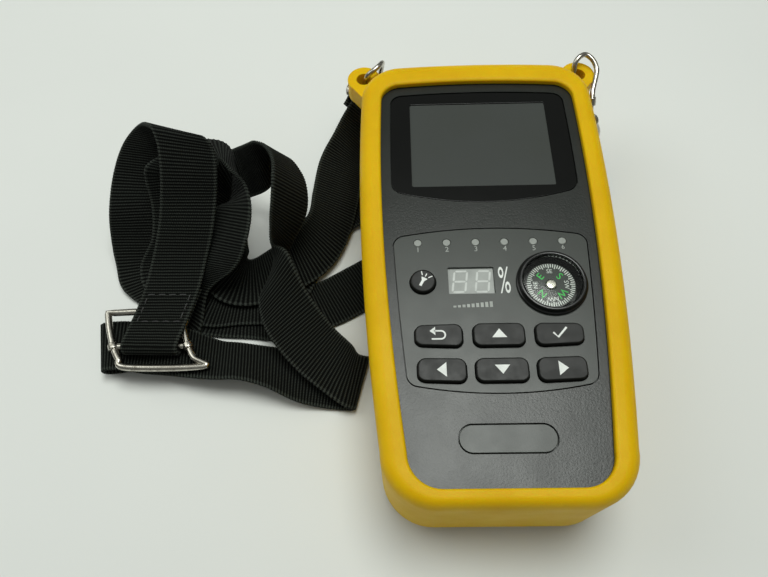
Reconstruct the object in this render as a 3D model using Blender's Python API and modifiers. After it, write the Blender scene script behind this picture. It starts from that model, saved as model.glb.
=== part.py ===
# Satellite signal meter in a rubber holster, with its carrying strap.
# Metres, +Z up. The meter lies on its back: +Y points to its top end, +X to its right side.
# The origin is on the table, under the middle of the box round the holster and its connector.
import bmesh
import bpy
import math
from mathutils import Matrix, Vector

# Driving dimensions of the holster, seen from the front
holster_length = 0.162
widest_half = 0.0426
widest_y = 0.040
side_drop = 0.0088
holster_wall = 0.0033
rim_width_side = 0.0075
rim_width_top = 0.0107
rim_width_bottom = 0.0052
outer_radius_bottom = 0.016
outer_radius_top = 0.014
opening_radius_bottom = 0.0095
opening_radius_top = 0.0065
top_edge_bow = 0.0018

# Driving dimensions of the stack, from the table up
foot_height = 0.0036
back_wall = 0.0030
split_height = 0.0245
face_height = 0.0430
lip_thickness = 0.0022
cover_wall = 0.0026
board_depth = 0.0082
board_thickness = 0.0016
clearance = 0.0003
overrun = 0.002

# Corners of a mesh closer than this share of the clearance are one corner
weld_share = 1 / 30
weld_distance = clearance * weld_share

# Rows of the front face, measured along Y from the middle of the holster
led_row = 0.0017
key_row_high = -0.0313
key_row_low = -0.0424
badge_row = -0.0621

holster_bottom = -holster_length / 2
holster_top = holster_length / 2
cavity_floor = foot_height + back_wall
body_bottom_z = cavity_floor + clearance
rim_height = face_height + clearance + lip_thickness
cover_underside = face_height - cover_wall
board_top = face_height - board_depth
board_bottom = board_top - board_thickness
body_inset = holster_wall + clearance

# The connector on the top end reaches furthest, so it sets where the box ends
connector_reach = 0.0115
part_shift = -connector_reach / 2

# Faces that meet at less than the first angle are one flat face, and at more than the second an edge
flat_angle = math.radians(0.05)
sharp_angle = math.radians(35)

materials = {}


def make_material(name, colour, roughness, metallic=0.0, alpha=1.0):
    if name not in materials:
        material = bpy.data.materials.new(name)
        material.use_nodes = True
        shader = material.node_tree.nodes["Principled BSDF"]
        shader.inputs["Base Color"].default_value = (*colour, 1.0)
        shader.inputs["Roughness"].default_value = roughness
        shader.inputs["Metallic"].default_value = metallic
        shader.inputs["Alpha"].default_value = alpha
        materials[name] = material
    return materials[name]


def yellow_rubber():
    return make_material("yellow_rubber", (0.72, 0.42, 0.02), 0.55)


def charcoal_plastic():
    return make_material("charcoal_plastic", (0.035, 0.038, 0.036), 0.6)


def panel_plastic():
    return make_material("panel_plastic", (0.06, 0.063, 0.06), 0.6)


def black_plastic():
    return make_material("black_plastic", (0.01, 0.01, 0.01), 0.4)


def key_rubber():
    return make_material("key_rubber", (0.03, 0.032, 0.03), 0.7)


def clear_plastic():
    return make_material("clear_plastic", (0.05, 0.05, 0.05), 0.08)


def milky_plastic():
    return make_material("milky_plastic", (0.5, 0.5, 0.5), 0.4)


def green_board():
    return make_material("green_board", (0.02, 0.12, 0.04), 0.5)


def plated_steel():
    return make_material("plated_steel", (0.6, 0.6, 0.6), 0.25, 1.0)


def black_webbing():
    return make_material("black_webbing", (0.015, 0.016, 0.015), 0.9)


def pack_wrap():
    return make_material("pack_wrap", (0.02, 0.06, 0.25), 0.4)


def make_collection(name):
    collection = bpy.data.collections.new(name)
    bpy.context.scene.collection.children.link(collection)
    return collection


def clear_scene():
    for item in list(bpy.data.objects):
        bpy.data.objects.remove(item, do_unlink=True)


clear_scene()
parts = make_collection("satellite_signal_meter")
cutters = make_collection("cutters")
meter = bpy.data.objects.new("meter", None)
meter.location = (0.0, part_shift, 0.0)
parts.objects.link(meter)


def place(item, material=None, parent=None):
    item.parent = parent or meter
    if material:
        item.data.materials.clear()
        item.data.materials.append(material)
    return item


def mesh_object(name, mesh, collection=None):
    item = bpy.data.objects.new(name, mesh)
    (collection or parts).objects.link(item)
    if collection is cutters:
        item.hide_render = True
        item.display_type = "WIRE"
    item.parent = meter
    return item


def box(name, size, centre, collection=None):
    mesh = bpy.data.meshes.new(name)
    shape = bmesh.new()
    bmesh.ops.create_cube(shape, size=1.0)
    bmesh.ops.scale(shape, vec=size, verts=shape.verts)
    shape.to_mesh(mesh)
    shape.free()
    item = mesh_object(name, mesh, collection)
    item.location = centre
    return item


def cylinder(name, radius, length, centre, axis="Z", collection=None, sides=24, radius_end=None):
    mesh = bpy.data.meshes.new(name)
    shape = bmesh.new()
    end = radius if radius_end is None else radius_end
    bmesh.ops.create_cone(shape, cap_ends=True, segments=sides, radius1=radius, radius2=end, depth=length)
    turns = {"X": Matrix.Rotation(math.pi / 2, 4, "Y"), "Y": Matrix.Rotation(-math.pi / 2, 4, "X")}
    if axis in turns:
        bmesh.ops.transform(shape, matrix=turns[axis], verts=shape.verts)
    shape.to_mesh(mesh)
    shape.free()
    item = mesh_object(name, mesh, collection)
    item.location = centre
    smooth(item)
    return item


def smooth(item):
    item.data.shade_smooth()
    item.data.set_sharp_from_angle(angle=sharp_angle)


def flat_solid(name, outlines, low, high, collection=None):
    """A plate between two heights; the outlines after the first are holes."""
    curve = bpy.data.curves.new(name, "CURVE")
    curve.dimensions = "2D"
    curve.fill_mode = "BOTH"
    curve.extrude = (high - low) / 2
    for outline_points in outlines:
        spline = curve.splines.new("POLY")
        spline.points.add(len(outline_points) - 1)
        for point, (x, y) in zip(spline.points, outline_points):
            point.co = (x, y, 0.0, 1.0)
        spline.use_cyclic_u = True
    drawn = bpy.data.objects.new(name, curve)
    parts.objects.link(drawn)
    return curve_to_mesh(name, drawn, (0.0, 0.0, (low + high) / 2), collection)


def curve_to_mesh(name, drawn, location, collection=None):
    evaluated = drawn.evaluated_get(bpy.context.evaluated_depsgraph_get())
    mesh = bpy.data.meshes.new_from_object(evaluated)
    bpy.data.objects.remove(drawn, do_unlink=True)
    shape = bmesh.new()
    shape.from_mesh(mesh)
    bmesh.ops.remove_doubles(shape, verts=shape.verts, dist=weld_distance)
    bmesh.ops.dissolve_limit(shape, angle_limit=flat_angle, verts=shape.verts, edges=shape.edges)
    shape.to_mesh(mesh)
    shape.free()
    item = mesh_object(name, mesh, collection)
    item.name = name
    item.location = location
    return item


def wire(name, points, radius, closed=False, collection=None, sides=2):
    curve = bpy.data.curves.new(name, "CURVE")
    curve.dimensions = "3D"
    curve.bevel_depth = radius
    curve.bevel_resolution = sides
    curve.use_fill_caps = not closed
    spline = curve.splines.new("POLY")
    spline.points.add(len(points) - 1)
    for point, place_of_point in zip(spline.points, points):
        point.co = (*place_of_point, 1.0)
    spline.use_cyclic_u = closed
    drawn = bpy.data.objects.new(name, curve)
    parts.objects.link(drawn)
    return curve_to_mesh(name, drawn, (0.0, 0.0, 0.0), collection)


def boolean(item, tool, operation):
    step = item.modifiers.new(operation.lower(), "BOOLEAN")
    step.operation = operation
    step.object = tool
    step.solver = "EXACT"
    return item


def cut(item, *tools):
    for tool in tools:
        boolean(item, tool, "DIFFERENCE")
    return item


def join(item, *tools):
    for tool in tools:
        boolean(item, tool, "UNION")
    return item


def round_edges(item, width, segments=2, angle=40):
    step = item.modifiers.new("rounded", "BEVEL")
    step.width = width
    step.segments = segments
    step.limit_method = "ANGLE"
    step.angle_limit = math.radians(angle)
    return item


def side_x(y, inset):
    """Half width of the meter's outline at a place along its length."""
    share = (y - widest_y) / (widest_y - holster_bottom)
    return widest_half - side_drop * share * share - inset


def outline(bottom, top, inset, radius_bottom, radius_top, bow_bottom=0.0, bow_top=0.0):
    """A closed outline with bowed sides and ends and round corners, counter-clockwise."""
    corner_steps = 5
    edge_steps = 3
    side_steps = 6
    half = []
    foot = bottom + bow_bottom + radius_bottom
    head = top - bow_top - radius_top
    foot_x = side_x(foot, inset)
    head_x = side_x(head, inset)
    for step in range(edge_steps):
        x = (foot_x - radius_bottom) * step / edge_steps
        half.append((x, bottom + bow_bottom * (x / foot_x) ** 2))
    for step in range(corner_steps + 1):
        turn = math.pi / 2 * step / corner_steps
        x = foot_x - radius_bottom * (1 - math.sin(turn))
        half.append((x, bottom + bow_bottom * (x / foot_x) ** 2 + radius_bottom * (1 - math.cos(turn))))
    for step in range(1, side_steps):
        y = foot + (head - foot) * step / side_steps
        half.append((side_x(y, inset), y))
    for step in range(corner_steps + 1):
        turn = math.pi / 2 * step / corner_steps
        x = head_x - radius_top * (1 - math.cos(turn))
        half.append((x, top - bow_top * (x / head_x) ** 2 - radius_top * (1 - math.sin(turn))))
    for step in reversed(range(edge_steps)):
        x = (head_x - radius_top) * step / edge_steps
        half.append((x, top - bow_top * (x / head_x) ** 2))
    mirrored = [(-x, y) for x, y in reversed(half) if x > 0]
    return half + mirrored


def rounded_rectangle(centre, width, height, radius, steps=3):
    points = []
    corners = ((1, 1, 0), (-1, 1, 90), (-1, -1, 180), (1, -1, 270))
    for sign_x, sign_y, start in corners:
        corner_x = centre[0] + sign_x * (width / 2 - radius)
        corner_y = centre[1] + sign_y * (height / 2 - radius)
        for step in range(steps + 1):
            turn = math.radians(start + 90 * step / steps)
            points.append((corner_x + radius * math.cos(turn), corner_y + radius * math.sin(turn)))
    return points


def circle(centre, radius, steps=24):
    points = []
    for step in range(steps):
        turn = 2 * math.pi * step / steps
        points.append((centre[0] + radius * math.cos(turn), centre[1] + radius * math.sin(turn)))
    return points


# The holster's lugs at the top corners, each with a hole for a clip
ear = dict(x=0.0418, y=0.0822, radius=0.0064, hole=0.0027, low=0.0275, high=0.0352, rounding=0.0018)
ear["side_root_y"] = 0.0700
ear["top_root_x"] = 0.0290
ear["first_angle"] = -50
ear["last_angle"] = 150
ear["steps"] = 12
holster = dict(base_round=0.0045, foot_radius=0.0045, foot_x=0.0250, foot_y=0.0730)
port_window = dict(width=0.058, low=0.0150, high=0.0345)


def ear_outline(sign):
    centre_x = ear["x"]
    centre_y = ear["y"]
    root_x = side_x(ear["side_root_y"], holster_wall / 2)
    root_y = holster_top - top_edge_bow - holster_wall / 2
    points = [(root_x, ear["side_root_y"])]
    swing = ear["last_angle"] - ear["first_angle"]
    for step in range(ear["steps"] + 1):
        turn = math.radians(ear["first_angle"] + swing * step / ear["steps"])
        points.append((centre_x + ear["radius"] * math.cos(turn), centre_y + ear["radius"] * math.sin(turn)))
    points.append((ear["top_root_x"], root_y))
    if sign < 0:
        points = [(-x, y) for x, y in reversed(points)]
    return points


def make_holster():
    shell_outline = outline(holster_bottom, holster_top, 0.0, outer_radius_bottom, outer_radius_top,
                            0.0, top_edge_bow)
    shell = flat_solid("holster", [shell_outline], foot_height, rim_height)
    place(shell, yellow_rubber())
    round_edges(shell, holster["base_round"], 3, 60)
    inside = body_outline(holster_wall)
    cavity = flat_solid("cut_cavity", [inside], cavity_floor, face_height + clearance, cutters)
    opening = flat_solid("cut_opening", [opening_outline()], face_height - overrun, rim_height + overrun,
                         cutters)
    ports_outline = rounded_rectangle((0.0, holster_top), port_window["width"],
                                      2 * rim_width_top + overrun, overrun)
    ports = flat_solid("cut_ports", [ports_outline], port_window["low"], port_window["high"], cutters)
    for sign, side in ((-1, "left"), (1, "right")):
        lug = flat_solid("join_ear_" + side, [ear_outline(sign)], ear["low"], ear["high"], cutters)
        round_edges(lug, ear["rounding"], 3, 60)
        join(shell, lug)
    for sign_x in (-1, 1):
        for sign_y in (-1, 1):
            foot = cylinder("join_foot", holster["foot_radius"], foot_height + overrun,
                            (sign_x * holster["foot_x"], sign_y * holster["foot_y"],
                             (foot_height + overrun) / 2),
                            collection=cutters, sides=20)
            join(shell, foot)
    cut(shell, cavity, opening, ports)
    for sign, side in ((-1, "left"), (1, "right")):
        hole = cylinder("cut_ear_" + side, ear["hole"], ear["high"] - ear["low"] + 2 * overrun,
                        (sign * ear["x"], ear["y"], (ear["low"] + ear["high"]) / 2),
                        collection=cutters, sides=16)
        cut(shell, hole)
    return shell


def body_outline(inset):
    """Outline of the meter's own body, or of the holster's cavity round it."""
    return outline(holster_bottom + inset, holster_top - inset, inset,
                   outer_radius_bottom - inset, outer_radius_top - inset, 0.0, top_edge_bow)


def opening_outline():
    return outline(holster_bottom + rim_width_bottom, holster_top - rim_width_top, rim_width_side,
                   opening_radius_bottom, opening_radius_top, 0.0, top_edge_bow)


# Sunk places of the front cover, as insets from the holster's outline and rows along Y
lens = dict(inset=0.0107, bottom=0.0173, top=0.0666, radius_bottom=0.0035, radius_top=0.004,
            bow_bottom=0.0050, bow_top=0.0014, thickness=0.0010, depth=0.0012)
screen = dict(width=0.0490, height=0.0369, y=0.0427, border=0.0035, thickness=0.0038, radius=0.0008)
panel = dict(inset=0.0103, bottom=-0.0493, top=0.0071, radius=0.0032, bow_bottom=0.0030, bow_top=0.0031,
             thickness=0.0014, groove=0.00035)
badge = dict(width=0.0281, height=0.0086, groove=0.00035, thickness=0.0010, corner_share=1 / 2.02)
port_cut = dict(low=0.0165, high=0.0330, width=0.054)


def lens_outline(shrink):
    return outline(lens["bottom"] + shrink, lens["top"] - shrink, lens["inset"] + shrink,
                   lens["radius_bottom"] - shrink, lens["radius_top"] - shrink,
                   lens["bow_bottom"], lens["bow_top"])


def panel_outline(shrink):
    return outline(panel["bottom"] + shrink, panel["top"] - shrink, panel["inset"] + shrink,
                   panel["radius"] - shrink, panel["radius"] - shrink, panel["bow_bottom"], panel["bow_top"])


def badge_outline(shrink):
    height = badge["height"] - 2 * shrink
    return rounded_rectangle((0.0, badge_row), badge["width"] - 2 * shrink, height,
                             height * badge["corner_share"], 6)


# Keys: name, centre X, row, width, height and how much the outer end is lower, as in the photo
key_size = dict(middle_width=0.0154, outer_width=0.0143, middle_height=0.0078, outer_height=0.0074,
                spread_high=0.0180, spread_low=0.0175, radius=0.0024, taper=0.0006)
key_stack = dict(proud=0.0016, flange=0.0009, flange_height=0.0010, travel=0.0008, gap=0.00025)
key_table = (
    ("key_return", -1, key_row_high, 0.0),
    ("key_up", 0, key_row_high, 0.0),
    ("key_ok", 1, key_row_high, 0.0),
    ("key_left", -1, key_row_low, 1.0),
    ("key_down", 0, key_row_low, 0.0),
    ("key_right", 1, key_row_low, 1.0),
)


def key_outline(column, row, lift, grow):
    """Key seen from above. The outer keys get lower towards the panel's edge."""
    wide = key_size["middle_width"] if column == 0 else key_size["outer_width"]
    tall = key_size["middle_height"] if column == 0 else key_size["outer_height"]
    spread = key_size["spread_low"] if lift else key_size["spread_high"]
    centre_x = column * spread
    points = rounded_rectangle((centre_x, row), wide + 2 * grow, tall + 2 * grow, key_size["radius"] + grow)
    bent = []
    for x, y in points:
        outward = max(0.0, (x - centre_x) * column / wide + 0.5)
        squeeze = 1 - outward * key_size["taper"] / tall * (2 if y < row else 1 - 2 * lift)
        bent.append((x, row + (y - row) * squeeze))
    return bent


torch = dict(x=-0.0221, radius=0.0040, flange=0.0010, y=-0.0128)
compass = dict(x=0.0180, y=-0.0138, flange=0.0111, flange_height=0.0012, ring=0.0103, ring_height=0.0026,
               bore=0.0092, cup=0.0096, cup_depth=0.0058, floor=0.0010, dial=0.0077, dial_thickness=0.0005,
               dial_depth=0.0010, pin=0.0006, hub=0.0019, hub_height=0.0008, lens_thickness=0.0010,
               hub_top_share=3 / 4, lens_shoulder_share=3 / 4, lens_slope_share=9 / 10)
led = dict(pitch=0.00931, radius=0.0013, count=6, proud=0.0001)
digits = dict(x=-0.0069, y=-0.0122, width=0.0150, height=0.0100, depth=0.0061, mask=0.0003)


def make_front_cover():
    cover = flat_solid("front_cover", [body_outline(body_inset)], split_height, face_height)
    place(cover, charcoal_plastic())
    round_edges(cover, cover_wall / 3, 1, 60)
    hollow = flat_solid("cut_front_hollow", [body_outline(body_inset + cover_wall)],
                        split_height - overrun, cover_underside, cutters)
    sink = flat_solid("cut_lens_sink", [lens_outline(0.0)], face_height - lens["depth"],
                      face_height + overrun, cutters)
    window = flat_solid("cut_window", [rounded_rectangle((0.0, screen["y"]), screen["width"] + 2 * clearance,
                        screen["height"] + 2 * clearance, screen["radius"])],
                        cover_underside - overrun, face_height + overrun, cutters)
    tray = flat_solid("cut_panel_tray", [panel_outline(0.0)], face_height - panel["thickness"] - clearance,
                      face_height + overrun, cutters)
    pill = flat_solid("cut_badge", [badge_outline(0.0)], face_height - badge["thickness"] - clearance,
                      face_height + overrun, cutters)
    cut(cover, hollow, sink, window, tray, pill)
    for hole_name, points in face_holes(0.0):
        hole = flat_solid("cut_" + hole_name, [points], cover_underside - overrun, face_height + overrun,
                          cutters)
        cut(cover, hole)
    ports = box("cut_front_ports", (port_cut["width"], 4 * body_inset,
                                    port_cut["high"] - split_height + overrun),
                (0.0, holster_top - body_inset, (port_cut["high"] + split_height - overrun) / 2), cutters)
    cut(cover, ports)
    return cover


def face_holes(grow):
    """Holes through the panel, and through the cover's floor below it."""
    holes = []
    for name, column, row, lift in key_table:
        holes.append((name, key_outline(column, row, lift, key_stack["gap"] + grow)))
    holes.append(("torch_button", circle((torch["x"], torch["y"]),
                                         torch["radius"] + key_stack["gap"] + grow)))
    holes.append(("compass", circle((compass["x"], compass["y"]), compass["cup"] + clearance + grow, 32)))
    for index in range(led["count"]):
        x = (index - (led["count"] - 1) / 2) * led["pitch"]
        holes.append((f"led_{index + 1}", circle((x, led_row), led["radius"] + clearance + grow, 12)))
    window = rounded_rectangle((digits["x"], digits["y"]), digits["width"] + 2 * (clearance + grow),
                               digits["height"] + 2 * (clearance + grow), digits["mask"], 2)
    holes.append(("digits", window))
    return holes


def make_control_panel():
    holes = []
    for name, points in face_holes(0.0):
        if name == "digits":
            points = rounded_rectangle((digits["x"], digits["y"]), digits["width"] - 2 * digits["mask"],
                                       digits["height"] - 2 * digits["mask"], digits["mask"], 2)
        holes.append(points)
    plate = flat_solid("control_panel", [panel_outline(panel["groove"]), *holes],
                       face_height - panel["thickness"], face_height)
    return place(plate, panel_plastic())


def make_badge():
    plate = flat_solid("badge_plate", [badge_outline(badge["groove"])],
                       face_height - badge["thickness"], face_height)
    return place(plate, panel_plastic())


def make_lens():
    low = face_height - lens["depth"] + clearance
    plate = flat_solid("display_window", [lens_outline(clearance)], low, low + lens["thickness"] - clearance)
    return place(plate, clear_plastic())


def make_screen():
    high = cover_underside - clearance
    module = box("lcd_module", (screen["width"] + 2 * screen["border"],
                                screen["height"] + 2 * screen["border"],
                 screen["thickness"]), (0.0, screen["y"], high - screen["thickness"] / 2))
    return place(module, black_plastic())


rear = dict(door_width=0.052, door_length=0.086, door_y=-0.018, door_thickness=0.0020, ledge=0.0030)
post = dict(radius=0.0034, pilot=0.0013, x=0.0315, y=0.0660, x_low=0.0250, y_low=-0.0650)
screw = dict(radius=0.0012, head=0.0024, head_height=0.0016, seat=0.0040, reach=0.0060)


def post_places():
    return ((-post["x"], post["y"]), (post["x"], post["y"]),
            (-post["x_low"], post["y_low"]), (post["x_low"], post["y_low"]))


def make_rear_cover():
    high = split_height - clearance
    cover = flat_solid("rear_cover", [body_outline(body_inset)], body_bottom_z, high)
    place(cover, charcoal_plastic())
    round_edges(cover, cover_wall / 2, 1, 60)
    hollow = flat_solid("cut_rear_hollow", [body_outline(body_inset + cover_wall)],
                        body_bottom_z + cover_wall, high + overrun, cutters)
    cut(cover, hollow)
    bay = box("cut_battery_bay", (rear["door_width"] - 2 * rear["ledge"],
                                  rear["door_length"] - 2 * rear["ledge"],
              2 * cover_wall + overrun), (0.0, rear["door_y"], body_bottom_z + cover_wall / 2), cutters)
    recess = box("cut_door_recess", (rear["door_width"] + 2 * clearance, rear["door_length"] + 2 * clearance,
                 2 * (rear["door_thickness"] + clearance)), (0.0, rear["door_y"], body_bottom_z), cutters)
    cut(cover, recess, bay)
    for index, (x, y) in enumerate(post_places()):
        boss = cylinder(f"join_boss_{index}", post["radius"], high - body_bottom_z - cover_wall / 2,
                        (x, y, (high + body_bottom_z + cover_wall / 2) / 2), collection=cutters, sides=16)
        join(cover, boss)
    for index, (x, y) in enumerate(post_places()):
        shank = cylinder(f"cut_shank_{index}", screw["radius"] + clearance,
                         high - body_bottom_z + 2 * overrun,
                         (x, y, (high + body_bottom_z) / 2), collection=cutters, sides=12)
        well = cylinder(f"cut_well_{index}", screw["head"] + clearance, 2 * screw["seat"],
                        (x, y, body_bottom_z), collection=cutters, sides=16)
        cut(cover, shank, well)
    ports = box("cut_rear_ports", (port_cut["width"], 4 * body_inset,
                                   split_height - port_cut["low"] + overrun),
                (0.0, holster_top - body_inset, (port_cut["low"] + split_height + overrun) / 2), cutters)
    cut(cover, ports)
    return cover


def make_battery_door():
    door = box("battery_door", (rear["door_width"], rear["door_length"], rear["door_thickness"]),
               (0.0, rear["door_y"], body_bottom_z + rear["door_thickness"] / 2))
    return place(door, charcoal_plastic())


battery = dict(width=0.042, length=0.070, height=0.0125)


def make_battery():
    low = body_bottom_z + rear["door_thickness"] + clearance
    pack = box("battery_pack", (battery["width"], battery["length"], battery["height"]),
               (0.0, rear["door_y"], low + battery["height"] / 2))
    round_edges(pack, battery["height"] / 8, 2)
    return place(pack, pack_wrap())


def make_screws():
    for index, (x, y) in enumerate(post_places()):
        low = body_bottom_z + screw["seat"] - clearance
        head = cylinder(f"case_screw_{index + 1}", screw["head"], screw["head_height"],
                        (x, y, low - screw["head_height"] / 2), sides=16)
        top = split_height + screw["reach"]
        shank = cylinder(f"join_screw_{index}", screw["radius"], top - low + screw["head_height"] / 2,
                         (x, y, (top + low - screw["head_height"] / 2) / 2), collection=cutters, sides=12)
        join(head, shank)
        place(head, plated_steel())


def add_front_posts(cover):
    """Posts under the front cover, which the case screws bite into."""
    for index, (x, y) in enumerate(post_places()):
        low = split_height
        high = cover_underside + cover_wall / 2
        boss = cylinder(f"join_post_{index}", post["radius"], high - low, (x, y, (high + low) / 2),
                        collection=cutters, sides=16)
        join(cover, boss)
    for index, (x, y) in enumerate(post_places()):
        depth = screw["reach"] + clearance + overrun
        pilot = cylinder(f"cut_pilot_{index}", screw["radius"] + clearance, depth,
                         (x, y, split_height - overrun + depth / 2), collection=cutters, sides=12)
        cut(cover, pilot)


board = dict(width=0.054, top=0.0640, can_width=0.040, can_length=0.030, can_height=0.0110)
board["bottom"] = post["y_low"] + post["radius"] + clearance
mat = dict(thickness=0.0022, dome=0.0018, dome_top=0.0008, length=0.026)


def make_board():
    plate = box("main_board", (board["width"], board["top"] - board["bottom"], board_thickness),
                (0.0, (board["top"] + board["bottom"]) / 2, (board_top + board_bottom) / 2))
    return place(plate, green_board())


def make_tuner_can():
    y = board["top"] - board["can_length"] / 2
    can = box("tuner_can", (board["can_width"], board["can_length"], board["can_height"]),
              (0.0, y, board_bottom - clearance - board["can_height"] / 2))
    round_edges(can, board["can_height"] / 10, 1)
    return place(can, plated_steel())


def key_bottom():
    return cover_underside - clearance - key_stack["flange_height"]


def make_key(name, column, row, lift):
    top = face_height + key_stack["proud"]
    cap = flat_solid(name, [key_outline(column, row, lift, 0.0)], key_bottom(), top)
    round_edges(cap, key_stack["proud"] / 3, 1, 60)
    flange = flat_solid("join_flange_" + name, [key_outline(column, row, lift, key_stack["flange"])],
                        key_bottom(), key_bottom() + key_stack["flange_height"], cutters)
    join(cap, flange)
    return place(cap, key_rubber())


def make_torch_button():
    top = face_height + key_stack["proud"]
    height = top - key_bottom()
    cap = cylinder("torch_button", torch["radius"], height, (torch["x"], torch["y"],
                                                             key_bottom() + height / 2),
                   sides=20)
    round_edges(cap, key_stack["proud"] / 4, 1, 60)
    flange = cylinder("join_flange_torch", torch["radius"] + torch["flange"], key_stack["flange_height"],
                      (torch["x"], torch["y"], key_bottom() + key_stack["flange_height"] / 2),
                      collection=cutters, sides=20)
    join(cap, flange)
    return place(cap, key_rubber())


def make_key_mat():
    """Silicone sheet on the board with a dome under each key."""
    low = board_top + clearance
    high = low + mat["thickness"]
    row = (key_row_high + key_row_low) / 2
    sheet = flat_solid("key_mat", [rounded_rectangle((0.0, row), board["width"] - 2 * clearance,
                                                     mat["length"],
                       key_size["radius"])], low, high)
    top = key_bottom() - key_stack["travel"] - clearance
    for name, column, row_y, lift in key_table:
        spread = key_size["spread_low"] if lift else key_size["spread_high"]
        dome = cylinder("join_dome_" + name, mat["dome"], top - low, (column * spread, row_y,
                                                                      (top + low) / 2),
                        collection=cutters, sides=8, radius_end=mat["dome_top"])
        join(sheet, dome)
    return place(sheet, milky_plastic())


def make_torch_switch():
    low = board_top + clearance
    top = key_bottom() - key_stack["travel"] - clearance
    width = 2 * torch["radius"] * 3 / 4
    body_height = (top - low) * 2 / 3
    switch = box("torch_switch", (width, width, body_height), (torch["x"], torch["y"],
                                                               low + body_height / 2))
    plunger = cylinder("join_plunger", width / 4, top - low - body_height / 2,
                       (torch["x"], torch["y"],
                        (top + low + body_height / 2) / 2), collection=cutters, sides=12)
    join(switch, plunger)
    return place(switch, black_plastic())


def make_digits():
    low = board_top + clearance
    high = face_height - panel["thickness"] - clearance
    module = box("digit_display", (digits["width"], digits["height"], high - low),
                 (digits["x"], digits["y"], (high + low) / 2))
    return place(module, milky_plastic())


def make_led_pipes():
    low = board_top + clearance
    high = face_height + led["proud"]
    for index in range(led["count"]):
        x = (index - (led["count"] - 1) / 2) * led["pitch"]
        pipe = cylinder(f"led_pipe_{index + 1}", led["radius"], high - low, (x, led_row, (high + low) / 2),
                        sides=12)
        round_edges(pipe, led["radius"] / 4, 1, 60)
        place(pipe, milky_plastic())


def turned(name, profile, centre, sides=32):
    """A solid of revolution about Z. The profile starts and ends on the axis or is closed."""
    mesh = bpy.data.meshes.new(name)
    shape = bmesh.new()
    corners = [shape.verts.new((radius, 0.0, height)) for radius, height in profile]
    for first, second in zip(corners, corners[1:]):
        shape.edges.new((first, second))
    closed = profile[0][0] > 0
    if closed:
        shape.edges.new((corners[-1], corners[0]))
    shape.to_mesh(mesh)
    shape.free()
    item = mesh_object(name, mesh)
    item.location = centre
    step = item.modifiers.new("turned", "SCREW")
    step.steps = sides
    step.render_steps = sides
    step.use_merge_vertices = True
    step.merge_threshold = weld_distance
    return item


def make_compass():
    centre = (compass["x"], compass["y"], face_height)
    bottom = -compass["cup_depth"]
    seat = clearance
    profile = [(0.0, bottom + compass["floor"]), (compass["bore"] - clearance, bottom + compass["floor"]),
               (compass["bore"], -seat), (compass["bore"], compass["ring_height"]),
               (compass["ring"], compass["ring_height"]),
               (compass["ring"] + clearance, compass["flange_height"]),
               (compass["flange"], compass["flange_height"] - clearance), (compass["flange"], seat),
               (compass["cup"], seat), (compass["cup"], bottom), (0.0, bottom)]
    housing = turned("compass_housing", profile, centre)
    place(housing, black_plastic())
    pin_low = bottom + compass["floor"] + clearance
    pin_top = -compass["dial_depth"] - compass["dial_thickness"] - clearance
    pin = cylinder("compass_pivot", compass["hub"], (pin_top - pin_low) / 2,
                   (compass["x"], compass["y"], face_height + pin_low + (pin_top - pin_low) / 4), sides=12)
    point = cylinder("join_pivot", compass["pin"], pin_top - pin_low,
                     (compass["x"], compass["y"], face_height + (pin_low + pin_top) / 2),
                     collection=cutters, sides=12)
    join(pin, point)
    place(pin, plated_steel())
    dial_high = -compass["dial_depth"]
    dial_low = dial_high - compass["dial_thickness"]
    hub_top = dial_high + compass["hub_height"]
    dial_profile = [(0.0, hub_top), (compass["hub"] * compass["hub_top_share"], hub_top), (compass["hub"],
                                                                                           dial_high),
                    (compass["dial"], dial_high), (compass["dial"], dial_low), (0.0, dial_low)]
    dial = turned("compass_dial", dial_profile, centre)
    place(dial, black_plastic())
    lens_low = compass["ring_height"] - compass["lens_thickness"] - clearance
    lens_radius = compass["bore"] - clearance
    shoulder = (lens_radius * compass["lens_shoulder_share"],
                lens_low + compass["lens_thickness"] * compass["lens_slope_share"])
    lens_profile = [(0.0, lens_low + compass["lens_thickness"]), shoulder,
                    (lens_radius, lens_low + compass["lens_thickness"] / 2), (lens_radius, lens_low),
                    (0.0, lens_low)]
    glass = turned("compass_lens", lens_profile, centre)
    place(glass, clear_plastic())


# Things on the top end: name, place along X and height of the centre
port = dict(height=0.0265, panel_thickness=0.0016, panel_sink=0.0012, depth=0.0095)
tuner = dict(x=0.0, barrel=0.00475, bore=0.0030, bore_depth=0.0080, nut=0.0064, nut_thickness=0.0024,
             flange=0.0065, flange_thickness=0.0020)
power_jack = dict(x=-0.0210, width=0.0090, height=0.0100, opening=0.0032, pin=0.0010)
video_jack = dict(x=-0.0115, width=0.0070, height=0.0060, opening=0.0018)
torch_lamp = dict(x=0.0110, radius=0.0025, rim=0.0029, proud=0.0010)
slide_switch = dict(x=0.0205, width=0.0090, height=0.0046, slot=0.0058, slot_height=0.0026, knob=0.0024,
                    knob_height=0.0020, knob_reach=0.0022, travel=0.0015)
buzzer = dict(y=-0.0480, radius=0.0060, height=0.0045, hole=0.0010)
panel_front = holster_top - body_inset - port["panel_sink"]
panel_back = panel_front - port["panel_thickness"]


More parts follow.
